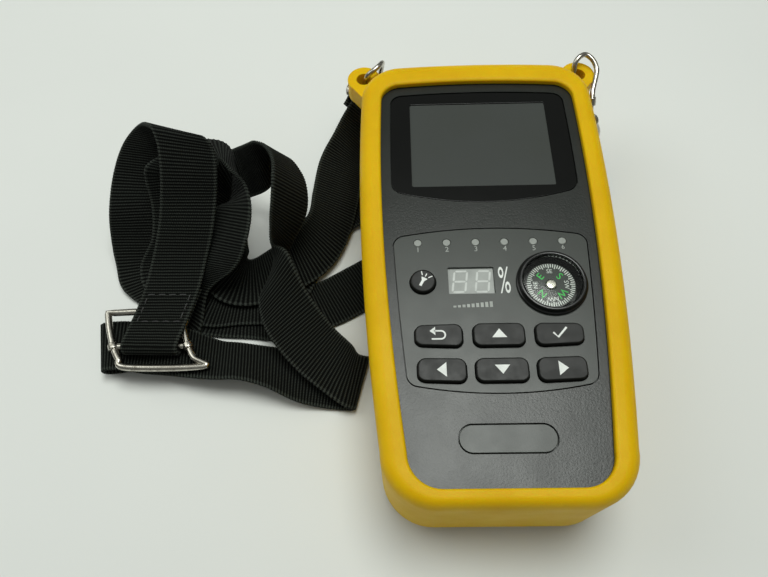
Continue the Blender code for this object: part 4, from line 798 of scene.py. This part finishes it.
def keyOutline(column, row, grow):
    wide = keys["outerWidth"] if column else keys["middleWidth"]
    tall = keys["outerHeight"] if column else keys["middleHeight"]
    centreX, centreY = keyCentre(column, row)
    upperShare = 1 - 2 * row * abs(column)
    bent = []
    for x, y in roundedRectangle((centreX, centreY), wide + 2 * grow, tall + 2 * grow, keys["radius"] + grow):
        outward = max(0.0, (x - centreX) * column / wide + 0.5)
        squeeze = 1 - outward * keys["taper"] / tall * (2 if y < centreY else upperShare)
        bent.append((x, centreY + (y - centreY) * squeeze))
    return bent


torch = dict(centre=(-0.0221, -0.0128), radius=0.0040, rounding=0.0007, flange=0.0010)
compass = dict(centre=(0.0180, -0.0138), flange=0.0111, ring=0.0103, bore=0.0092, cup=0.0096, dial=0.0077,
               flangeHeight=0.0012, ringHeight=0.0026, cupDepth=0.0058, floor=0.0010, dialDepth=0.0010,
               dialThickness=0.0005, hub=0.0019, hubTop=0.00152, hubHeight=0.0008, hubSide=0.0002,
               hubRounding=0.0003, edge=0.0003, rounding=0.0004, lensSunk=0.0013, lensEdge=0.0005,
               lensDome=0.0005, lensSteps=8, ticks=60, tickInset=0.0002, tick=0.0012, longTick=0.0016,
               tickWidth=0.00030, firstTick=1)
led = dict(pitch=0.00931, radius=0.0013, count=6, row=0.0017, proud=0.0001, depth=0.0066, gap=0.0001,
           rounding=0.0003, number=0.0026, numberDrop=0.0026, lastNumber=0.0022, lastDrop=0.0024)
digits = dict(centre=(-0.0069, -0.0122), width=0.0150, height=0.0100, depth=0.0046, mask=0.0003,
              sunk=0.0009, step=0.00072, tall=0.0073, wide=0.0040, stroke=0.00065, lean=0.14,
              gapShare=0.75, places=(-0.0104, -0.0032))
ledPlaces = [((index - (led["count"] - 1) / 2) * led["pitch"], led["row"]) for index in range(led["count"])]


def faceHoles():
    holes = [keyOutline(column, row, keys["gap"]) for name, column, row in keyTable]
    holes.append(circle(torch["centre"], torch["radius"] + keys["gap"]))
    holes.append(circle(compass["centre"], compass["cup"] + body["gap"], 64))
    holes += [circle(place, led["radius"] + led["gap"], 24) for place in ledPlaces]
    holes.append(roundedRectangle(digits["centre"], digits["width"] - 2 * digits["mask"],
                                  digits["height"] - 2 * digits["mask"], digits["mask"], 3))
    return holes


def makeFrontCover():
    face = body["face"]
    low = face - panel["thickness"] - body["gap"]
    around = outline(body, bodyInset)
    overlap = -cover["overlap"]
    shape = plateShape([around, outline(lens), outline(panel), badgeOutline()], low, face,
                       cover["rounding"], 3, False)
    window = roundedRectangle((0.0, screen["y"]), screen["width"] + 2 * body["gap"],
                              screen["height"] + 2 * body["gap"], screen["radius"])
    addShape(shape, plateShape([around, window, *faceHoles()], coverUnderside, low))
    addShape(shape, plateShape([outline(lens, overlap), window], low, face - lens["depth"]))
    addShape(shape, plateShape([badgeOutline(overlap)], low, face - badge["thickness"] - body["gap"]))
    wall = plateShape([around, outline(body, bodyInset + body["coverWall"])], body["split"], coverUnderside)
    ports = boxShape(portCut["width"], 4 * bodyInset, body["split"] - body["coverWall"], portCut["high"],
                     (0.0, body["high"] - bodyInset))
    addShape(shape, cutShape(wall, ports))
    meshPiece("front_cover_moulding", shape, charcoalPlastic, stands="front_cover", smooth=50)
    plates = (("control_panel", [outline(panel, panel["groove"]), *faceHoles()], panel["thickness"]),
              ("badge_plate", [badgeOutline(panel["groove"])], badge["thickness"]))
    for name, outlines, thickness in plates:
        shape = plateShape(outlines, face - thickness, face, panel["rounding"], 2, False)
        meshPiece(name + "_moulding", shape, panelPlastic, stands=name, smooth=50)


def makeWindow():
    low = body["face"] - lens["depth"] + body["gap"]
    high = low + lens["thickness"]
    opening = roundedRectangle((0.0, screen["y"]), screen["width"], screen["height"], screen["radius"])
    shape = plateShape([outline(lens, body["gap"]), opening], low, high, lens["rounding"], 2, False)
    meshPiece("window_mask", shape, maskPlastic, stands="display_window", smooth=50)
    meshPiece("screen_pane", plateShape([opening], low, high - screen["sunk"]), screenGlass,
              stands="display_window")


makeFrontCover()
makeWindow()
print("stage: front cover, panel and window")

ink = dict(thickness=0.00003, lift=0.000002)


def printed(name, outlineSets, level, material, rides="case"):
    # Ink on a face: each set holds an outline and its holes
    shape = bmesh.new()
    for outlines in outlineSets:
        addShape(shape, plateShape(outlines, level + ink["lift"], level + ink["thickness"]))
    meshPiece(name, shape, material, rides)


def lettered(words, size, centre, level, turn=0.0):
    # Generic lettering from the built-in font, laid flat on a face
    curve = bpy.data.curves.new("lettering", "FONT")
    curve.body = words
    curve.size = size
    curve.align_x = "CENTER"
    curve.align_y = "CENTER"
    curve.extrude = ink["thickness"] / 2
    curve.resolution_u = 3
    shape = shapeOf(linked("lettering", curve))
    shape.transform(Matrix.Translation((*centre, level + ink["thickness"] / 2 + ink["lift"]))
                    @ Matrix.Rotation(turn, 4, "Z"))
    return shape


def moved(points, centre, size=1.0, degrees=0.0):
    # Points scaled and turned about zero, then moved to a centre
    sine = math.sin(math.radians(degrees))
    cosine = math.cos(math.radians(degrees))
    return [(centre[0] + size * (x * cosine - y * sine), centre[1] + size * (x * sine + y * cosine))
            for x, y in points]


def stroke(points, width):
    # Outline of a line of the given width along the points
    left = []
    right = []
    last = len(points) - 1
    for index, (x, y) in enumerate(points):
        before = points[max(index - 1, 0)]
        after = points[min(index + 1, last)]
        across = Vector((before[1] - after[1], after[0] - before[0])).normalized() * width / 2
        left.append((x + across.x, y + across.y))
        right.append((x - across.x, y - across.y))
    return left + right[::-1]


# Signs on the keys and on the torch button, each drawn about its own middle. Arrows are drawn to one
# size, pointing up, and turned
marks = dict(rise=0.0002, arrow=((0.0, 0.95), (-1.35, -0.75), (1.35, -0.75)), arrowSize=0.00165,
             turns=dict(up=0, left=90, down=180, right=270), tickWidth=0.00062,
             tick=((-0.0020, 0.0001), (-0.0007, -0.0014), (0.0021, 0.0017)), backArrow=0.0010,
             backArrowPlace=(-0.0018, 0.0011), backStart=(-0.0022, -0.0015), backEnd=(-0.0014, 0.0011),
             bend=(0.0006, -0.0002), bendRadius=0.0013, backWidth=0.00050)
torchMark = dict(shift=0.0001, degrees=-28, rayWidth=0.00034, leans=(-0.34, 0.0, 0.34), rayFrom=0.0014,
                 rayTo=0.0025, raySpreads=(0.0030, 0.0056),
                 grip=((-0.00042, -0.0022), (0.00042, -0.0022), (0.00042, -0.0002), (0.00095, 0.0006),
                       (0.00095, 0.0009), (-0.00095, 0.0009), (-0.00095, 0.0006), (-0.00042, -0.0002)))
keyTop = body["face"] + keys["proud"]
keyUnderside = coverUnderside - body["gap"] - keys["flangeThickness"]


def keyMark(kind, centre):
    if kind == "ok":
        return [[stroke(moved(marks["tick"], centre), marks["tickWidth"])]]
    if kind == "return":
        bend = arc(marks["bend"], marks["bendRadius"], -90, 90, 15)
        line = stroke(moved([marks["backStart"], *bend, marks["backEnd"]], centre), marks["backWidth"])
        place = moved([marks["backArrowPlace"]], centre)[0]
        return [[line], [moved(marks["arrow"], place, marks["backArrow"], marks["turns"]["left"])]]
    return [[moved(marks["arrow"], centre, marks["arrowSize"], marks["turns"][kind])]]


def makeKeys():
    for kind, column, row in keyTable:
        name = "key_" + kind
        shape = plateShape([keyOutline(column, row, 0.0)], keyUnderside, keyTop, keys["rounding"], 4, False)
        addShape(shape, plateShape([keyOutline(column, row, keys["flange"])], keyUnderside,
                                   keyUnderside + keys["flangeThickness"]))
        meshPiece(name + "_cap", shape, keyRubber, name, name, 50)
        x, y = keyCentre(column, row)
        printed(name + "_mark", keyMark(kind, (x, y + marks["rise"])), keyTop, whiteInk, name)


def makeTorchButton():
    shape = bmesh.new()
    addBar(shape, torch["radius"], keyUnderside, keyTop, torch["centre"], 48, torch["rounding"], 4)
    addBar(shape, torch["radius"] + torch["flange"], keyUnderside, keyUnderside + keys["flangeThickness"],
           torch["centre"], 48)
    meshPiece("torch_button_cap", shape, keyRubber, "torch_button", "torch_button", 50)
    middle = [place + torchMark["shift"] for place in torch["centre"]]
    drawn = [moved(torchMark["grip"], middle, degrees=torchMark["degrees"])]
    for lean in torchMark["leans"]:
        ray = [(lean * spread, y)
               for spread, y in zip(torchMark["raySpreads"], (torchMark["rayFrom"], torchMark["rayTo"]))]
        drawn.append(stroke(moved(ray, middle, degrees=torchMark["degrees"]), torchMark["rayWidth"]))
    printed("torch_button_mark", [[points] for points in drawn], keyTop, whiteInk, "torch_button")


makeKeys()
makeTorchButton()
print("stage: keys")

percent = dict(size=0.0134, centre=(0.0034, -0.0128), narrowShare=0.42)
levelBars = dict(count=9, x=-0.0130, pitch=0.0014, width=0.0009, y=-0.0216, lowest=0.0006, rise=0.00016)


def segmentOutlines(centreX):
    # The seven bars of a digit, leaning a little
    wide = digits["wide"] / 2
    tall = digits["tall"] / 2
    half = digits["stroke"] / 2
    gap = digits["stroke"] * digits["gapShare"]
    ends = wide - gap
    bars = [[(-ends, y - half), (ends, y - half), (ends + half, y), (ends, y + half), (-ends, y + half),
             (-ends - half, y)] for y in (-tall, 0.0, tall)]
    bars += [[(x - half, low + gap), (x, low + gap - half), (x + half, low + gap), (x + half, high - gap),
              (x, high - gap + half), (x - half, high - gap)]
             for x in (-wide, wide) for low, high in ((-tall, 0.0), (0.0, tall))]
    return [[[(centreX + x + y * digits["lean"], digits["centre"][1] + y) for x, y in bar]] for bar in bars]


def makeDigits():
    high = body["face"] - panel["thickness"] - body["gap"]
    level = body["face"] - digits["sunk"]
    shape = boxShape(digits["width"], digits["height"], high - digits["depth"], high, digits["centre"])
    addShape(shape, boxShape(digits["width"] - digits["step"], digits["height"] - digits["step"], high, level,
                             digits["centre"]))
    meshPiece("digit_display_face", shape, digitFace, stands="digit_display")
    segments = [bar for centreX in digits["places"] for bar in segmentOutlines(centreX)]
    printed("digit_segments", segments, level, digitSegment)
    shape = lettered("%", percent["size"], percent["centre"], body["face"])
    bmesh.ops.scale(shape, vec=(percent["narrowShare"], 1.0, 1.0), verts=shape.verts,
                    space=Matrix.Translation((-percent["centre"][0], 0.0, 0.0)))
    meshPiece("percent_mark", shape, whiteInk)
    low = levelBars["y"]
    bars = []
    for step in range(levelBars["count"]):
        x = levelBars["x"] + levelBars["pitch"] * step
        end = x + levelBars["width"]
        tip = low + levelBars["lowest"] + levelBars["rise"] * step
        bars.append([[(x, low), (end, low), (end, tip), (x, tip)]])
    printed("level_bars_mark", bars, body["face"], greyInk)


def makeLights():
    numbers = bmesh.new()
    for index, (x, y) in enumerate(ledPlaces, 1):
        shape = bmesh.new()
        addBar(shape, led["radius"], body["face"] - led["depth"], body["face"] + led["proud"], (x, y), 32,
               led["rounding"], 3)
        meshPiece(f"led_pipe_{index}_resin", shape, lightPipe, stands=f"led_pipe_{index}")
        # The last number is slightly smaller and stands higher
        size, drop = "number", "numberDrop"
        if index == led["count"]:
            size, drop = "lastNumber", "lastDrop"
        addShape(numbers, lettered(str(index), led[size], (x, y - led[drop]), body["face"]))
    meshPiece("light_numbers", numbers, greyInk)


def roundedProfile(points, radius, steps=4, most=0.45):
    # The profile with its corners rounded, apart from its ends. No corner takes more than a share of a side
    made = [points[0]]
    for before, corner, after in zip(points, points[1:], points[2:]):
        corner = Vector(corner)
        back = Vector(before) - corner
        forward = Vector(after) - corner
        reach = min(radius, back.length * most, forward.length * most)
        start = corner + back.normalized() * reach
        end = corner + forward.normalized() * reach
        for share in [step / steps for step in range(steps + 1)]:
            made.append(tuple(start * (1 - share) ** 2 + corner * 2 * share * (1 - share) + end * share ** 2))
    return made + [points[-1]]


# Sets of letters on the dial: the first one's direction in degrees, their size and how far out they stand
dialLetters = (("compass_letters", "NESW", 225, 0.0034, 0.0042, greenInk),
               ("compass_small_letters", ("NE", "SE", "SW", "NW"), 180, 0.0020, 0.0048, whiteInk))


def makeCompass():
    centre = (*compass["centre"], body["face"])
    low = -compass["cupDepth"]
    edge = compass["edge"]
    profile = [(0.0, low + compass["floor"]), (compass["bore"] - edge, low + compass["floor"]),
               (compass["bore"], -edge), (compass["bore"], compass["ringHeight"]),
               (compass["ring"], compass["ringHeight"]), (compass["ring"] + edge, compass["flangeHeight"]),
               (compass["flange"], compass["flangeHeight"] - edge), (compass["flange"], edge),
               (compass["cup"], edge), (compass["cup"], low), (0.0, low)]
    meshPiece("compass_cup", turnedShape(roundedProfile(profile, compass["rounding"]), centre), blackPlastic,
              stands="compass_housing", smooth=50)
    dialHigh = -compass["dialDepth"]
    dialLow = dialHigh - compass["dialThickness"]
    profile = [(0.0, dialHigh), (compass["dial"], dialHigh), (compass["dial"], dialLow), (0.0, dialLow)]
    meshPiece("compass_card", turnedShape(profile, centre), dialInk, "compass_dial", "compass_dial")
    profile = [(0.0, dialHigh + compass["hubHeight"]), (compass["hubTop"], dialHigh + compass["hubHeight"]),
               (compass["hub"], dialHigh + compass["hubSide"]), (compass["hub"], dialHigh)]
    meshPiece("compass_hub", turnedShape(roundedProfile(profile, compass["hubRounding"]), centre), brightPin,
              "compass_dial", "compass_dial")
    level = body["face"] + dialHigh
    ticks = []
    for index in range(compass["ticks"]):
        outer = compass["dial"] - compass["tickInset"]
        inner = outer - compass["tick" if index % 3 else "longTick"]
        degrees = index * 360 / compass["ticks"] + compass["firstTick"]
        ticks.append([stroke(moved([(inner, 0.0), (outer, 0.0)], compass["centre"], degrees=degrees),
                             compass["tickWidth"])])
    printed("compass_ticks", ticks, level, whiteInk, "compass_dial")
    for name, letters, first, size, radius, material in dialLetters:
        shape = bmesh.new()
        for index, letter in enumerate(letters):
            degrees = first - 90 * index
            place = moved([(radius, 0.0)], compass["centre"], degrees=degrees)[0]
            addShape(shape, lettered(letter, size, place, level, math.radians(degrees - 90)))
        meshPiece(name, shape, material, "compass_dial")
    lensLow = compass["ringHeight"] - compass["lensSunk"]
    radius = compass["bore"] - edge
    lensTop = lensLow + compass["lensEdge"] + compass["lensDome"]
    profile = [(radius * share, lensTop - compass["lensDome"] * share ** 2)
               for share in [step / compass["lensSteps"] for step in range(compass["lensSteps"] + 1)]]
    profile += [(radius, lensLow), (0.0, lensLow)]
    meshPiece("compass_lens_clear", turnedShape(profile, centre), compassLens, stands="compass_lens",
              smooth=50)


makeDigits()
makeLights()
makeCompass()
print("stage: displays and compass")

# Aerial socket on the top end, with its thread and nut
port = dict(height=0.0265, barrel=0.00475, bore=0.0030, boreDepth=0.0080, flange=0.0065,
            flangeThickness=0.0020, start=0.0643, reach=0.0115, thread=0.00022, pitch=0.0008,
            crestShares=(0.4, 0.5), rootShare=0.9, plain=0.0004, mouth=0.0005, lip=0.0002, lipDepth=0.0003,
            nut=0.0064, nutThickness=0.0024, nutGap=0.0001, nutRounding=0.0003, panelFront=0.0762)


def makeConnector():
    length = body["high"] + port["reach"] - port["start"]
    root = port["barrel"] - port["thread"]
    place = port["panelFront"] - port["start"]
    profile = [(0.0, 0.0), (port["flange"], 0.0), (port["flange"], port["flangeThickness"]),
               (root, port["flangeThickness"]), (root, place)]
    while place + port["pitch"] < length - port["plain"]:
        profile += [(port["barrel"], place + port["pitch"] * share) for share in port["crestShares"]]
        profile.append((root, place + port["pitch"] * port["rootShare"]))
        place += port["pitch"]
    profile += [(port["barrel"] - port["mouth"], length), (port["bore"] + port["lip"], length),
                (port["bore"], length - port["lipDepth"]), (port["bore"], length - port["boreDepth"]),
                (0.0, length - port["boreDepth"])]
    middle = (0.0, 0.0)
    nut = plateShape([circle(middle, port["nut"], 6), circle(middle, port["barrel"] + port["nutGap"])],
                     0.0, port["nutThickness"], port["nutRounding"], 2)
    for name, shape, start, stands in (
            ("aerial_socket", turnedShape(profile, sides=48), port["start"], "tuner_connector"),
            ("aerial_socket_nut", nut, port["panelFront"] + body["gap"], "connector_nut")):
        shape.transform(Matrix.Translation((0.0, start, port["height"])) @ alongY)
        meshPiece(name, shape, nickelPlate, stands=stands, smooth=30)


makeConnector()
print("stage: sockets")

# Clips of bent wire. A hook runs from its collar over the lug and down its hole, and its gate goes back
# from there. held is the point of the ring's route that the swivel's eye goes round
clip = dict(wire=0.00100, gate=0.00045, collar=0.0015, collarUp=0.0010, collarDown=0.0022, eye=0.0023,
            eyeWire=0.00075, ringWire=0.0010, steps=8, ringSteps=6)
clipRoutes = dict(
    right=dict(
        hook=((0.0464, 0.0714, 0.0326), (0.0469, 0.0750, 0.0342), (0.0482, 0.0796, 0.0358),
              (0.0488, 0.0830, 0.0370), (0.0475, 0.0863, 0.0384), (0.0449, 0.0884, 0.0392),
              (0.0423, 0.0872, 0.0393), (0.0406, 0.0852, 0.0379), (0.0407, 0.0833, 0.0346),
              (0.0412, 0.0823, 0.0310), (0.0417, 0.0817, 0.0270), (0.0423, 0.0812, 0.0236),
              (0.0433, 0.0793, 0.0210), (0.0442, 0.0777, 0.0203)),
        gate=((0.0459, 0.0730, 0.0310), (0.0452, 0.0748, 0.0285), (0.0430, 0.0787, 0.0231)),
        ring=((0.0534, 0.0700, 0.0042), (0.0540, 0.0706, 0.0080), (0.0534, 0.0699, 0.0125),
              (0.0525, 0.0699, 0.0170), (0.0504, 0.0698, 0.0210), (0.0486, 0.0691, 0.0236),
              (0.0470, 0.0670, 0.0256), (0.0466, 0.0646, 0.0266), (0.0472, 0.0610, 0.0250),
              (0.0495, 0.0560, 0.0200), (0.0523, 0.0510, 0.0130), (0.0544, 0.0474, 0.0080),
              (0.0551, 0.0472, 0.0042)),
        held=6),
    left=dict(
        hook=((-0.0375, 0.0925, 0.0195), (-0.0363, 0.0926, 0.0240), (-0.0354, 0.0920, 0.0290),
              (-0.0347, 0.0906, 0.0340), (-0.0345, 0.0880, 0.0378), (-0.0355, 0.0852, 0.0392),
              (-0.0374, 0.0832, 0.0390), (-0.0396, 0.0821, 0.0378), (-0.0411, 0.0819, 0.0354),
              (-0.0418, 0.0821, 0.0315), (-0.0419, 0.0825, 0.0280), (-0.0419, 0.0829, 0.0255),
              (-0.0416, 0.0842, 0.0226), (-0.0412, 0.0856, 0.0216)),
        gate=((-0.0384, 0.0907, 0.0208), (-0.0396, 0.0881, 0.0227), (-0.0410, 0.0850, 0.0249)),
        ring=((-0.0490, 0.0884, 0.0215), (-0.0488, 0.0903, 0.0225), (-0.0476, 0.0925, 0.0220),
              (-0.0440, 0.0935, 0.0182), (-0.0422, 0.0946, 0.0160), (-0.0400, 0.0955, 0.0128),
              (-0.0382, 0.0952, 0.0088), (-0.0358, 0.0938, 0.0043), (-0.0349, 0.0916, 0.0021),
              (-0.0354, 0.0896, 0.0015)),
        held=4),
)


def makeClip(side):
    hook, gate, ring, held = [clipRoutes[side][name] for name in ("hook", "gate", "ring", "held")]
    base = Vector(hook[0])
    middle = Vector(ring[held])
    hang = (middle - base).normalized()
    across = hang.cross(Vector(ring[held + 1]) - Vector(ring[held - 1])).normalized()
    hookShape, gateShape, eyeShape, ringShape = [bmesh.new() for piece in range(4)]
    addWire(hookShape, smoothRoute(hook, clip["steps"]), clip["wire"])
    addCollar(hookShape, base - hang * clip["collarUp"], base + hang * clip["collarDown"], clip["collar"])
    addWire(gateShape, smoothRoute(gate, clip["steps"]), clip["gate"], sides=12)
    eye = [middle + hang * x + across * y for x, y in circle((0.0, 0.0), clip["eye"], 40)]
    addWire(eyeShape, eye, clip["eyeWire"], True)
    addWire(eyeShape, [base + hang * (clip["collarDown"] + body["gap"]), base.lerp(middle, 0.5),
                       middle - hang * clip["eye"]], clip["eyeWire"])
    closing = [Vector(ring[-1]).lerp(Vector(ring[0]), step / clip["ringSteps"])
               for step in range(1, clip["ringSteps"])]
    addWire(ringShape, smoothRoute(ring, clip["ringSteps"]) + closing, clip["ringWire"], True)
    for name, shape, ending, moves in (("_hook", hookShape, "_wire", False),
                                       ("_gate", gateShape, "_wire", True),
                                       ("_swivel", eyeShape, "_eye", True),
                                       ("_ring", ringShape, "_wire", False)):
        node = side + name
        meshPiece(node + ending, shape, nickelPlate, node if moves else "case", node, 50)


makeClip("left")
makeClip("right")
print("stage: clips")

# CAD pieces that show as they are, each with its finish. Their round faces are smooth up to an angle
cadSmooth = 35
finishes = (
    (charcoalPlastic, ("rear_cover", "battery_door", "end_panel")),
    (blackPlastic, ("lcd_module", "torch_switch", "power_jack", "video_jack", "power_slider", "buzzer")),
    (nickelPlate, (*[f"case_screw_{index}" for index in (1, 2, 3, 4)], "tuner_can", "power_switch")),
    (brightPin, ("compass_pivot",)), (lightPipe, ("key_mat",)), (clearTorch, ("torch_lamp",)),
    (circuitBoard, ("main_board",)), (shrinkWrap, ("battery_pack",)))


def dressCad():
    for material, names in finishes:
        for name in names:
            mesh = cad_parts[name].data
            mesh.materials.clear()
            mesh.materials.append(material)
            mesh.set_sharp_from_angle(angle=math.radians(cadSmooth))


dressCad()

# Sweep of pale card under the meter, and a soft studio light: a bright ceiling and darker walls, so that
# wires and gloss have something to show. The camera itself sees one pale grey beyond the card
studio = dict(card=("#E2E4E1", "#DEE0DD"), size=12.0, low=-0.0001, tint=(0.965, 1.0, 0.955), walls=0.17,
              sky=0.55, wallsTo=0.77, skyFrom=0.97, beyond=0.68)
lamps = (("ceiling light", 5.6, 0.50, (0.05, 0.15, 0.95)), ("window light", 1.5, 0.60, (-0.60, 0.22, 0.60)))


def makeStudio():
    shape = bmesh.new()
    bmesh.ops.create_grid(shape, x_segments=1, y_segments=1, size=studio["size"] / 2,
                          matrix=Matrix.Translation((0.0, 0.0, studio["low"])))
    floor = linked("floor", meshOf("floor", shape))
    # Matt card, faintly uneven
    floor.data.materials.append(surface("pale matt card", studio["card"], stain=300, grain=2, depth=0.01,
                                        roughness=(0.75, 0.85)))
    for name, power, size, place in lamps:
        lamp = linked(name, bpy.data.lights.new(name, "AREA"))
        lamp.data.energy = power
        lamp.data.color = studio["tint"]
        lamp.data.shape = "DISK"
        lamp.data.size = size
        lamp.location = place
        lamp.rotation_euler = (-lamp.location).to_track_quat("-Z", "Y").to_euler()
    scene.world = bpy.data.worlds.new("studio")
    add = emptyTree(scene.world)
    height = add("SeparateXYZ", "Z", {0: add("TexCoord", "Generated")})
    strength = add("MapRange", "Result", {"Value": height, "From Min": studio["wallsTo"],
                                          "From Max": studio["skyFrom"], "To Min": studio["walls"],
                                          "To Max": studio["sky"]})
    strength = add("Mix", 0, {0: add("LightPath", "Is Camera Ray"), 2: strength, 3: studio["beyond"]})
    light = add("Background", 0, {"Color": (*studio["tint"], 1.0), "Strength": strength})
    add("OutputWorld", None, {"Surface": light})
    scene.view_settings.view_transform = "Standard"


makeStudio()
print("stage: studio")
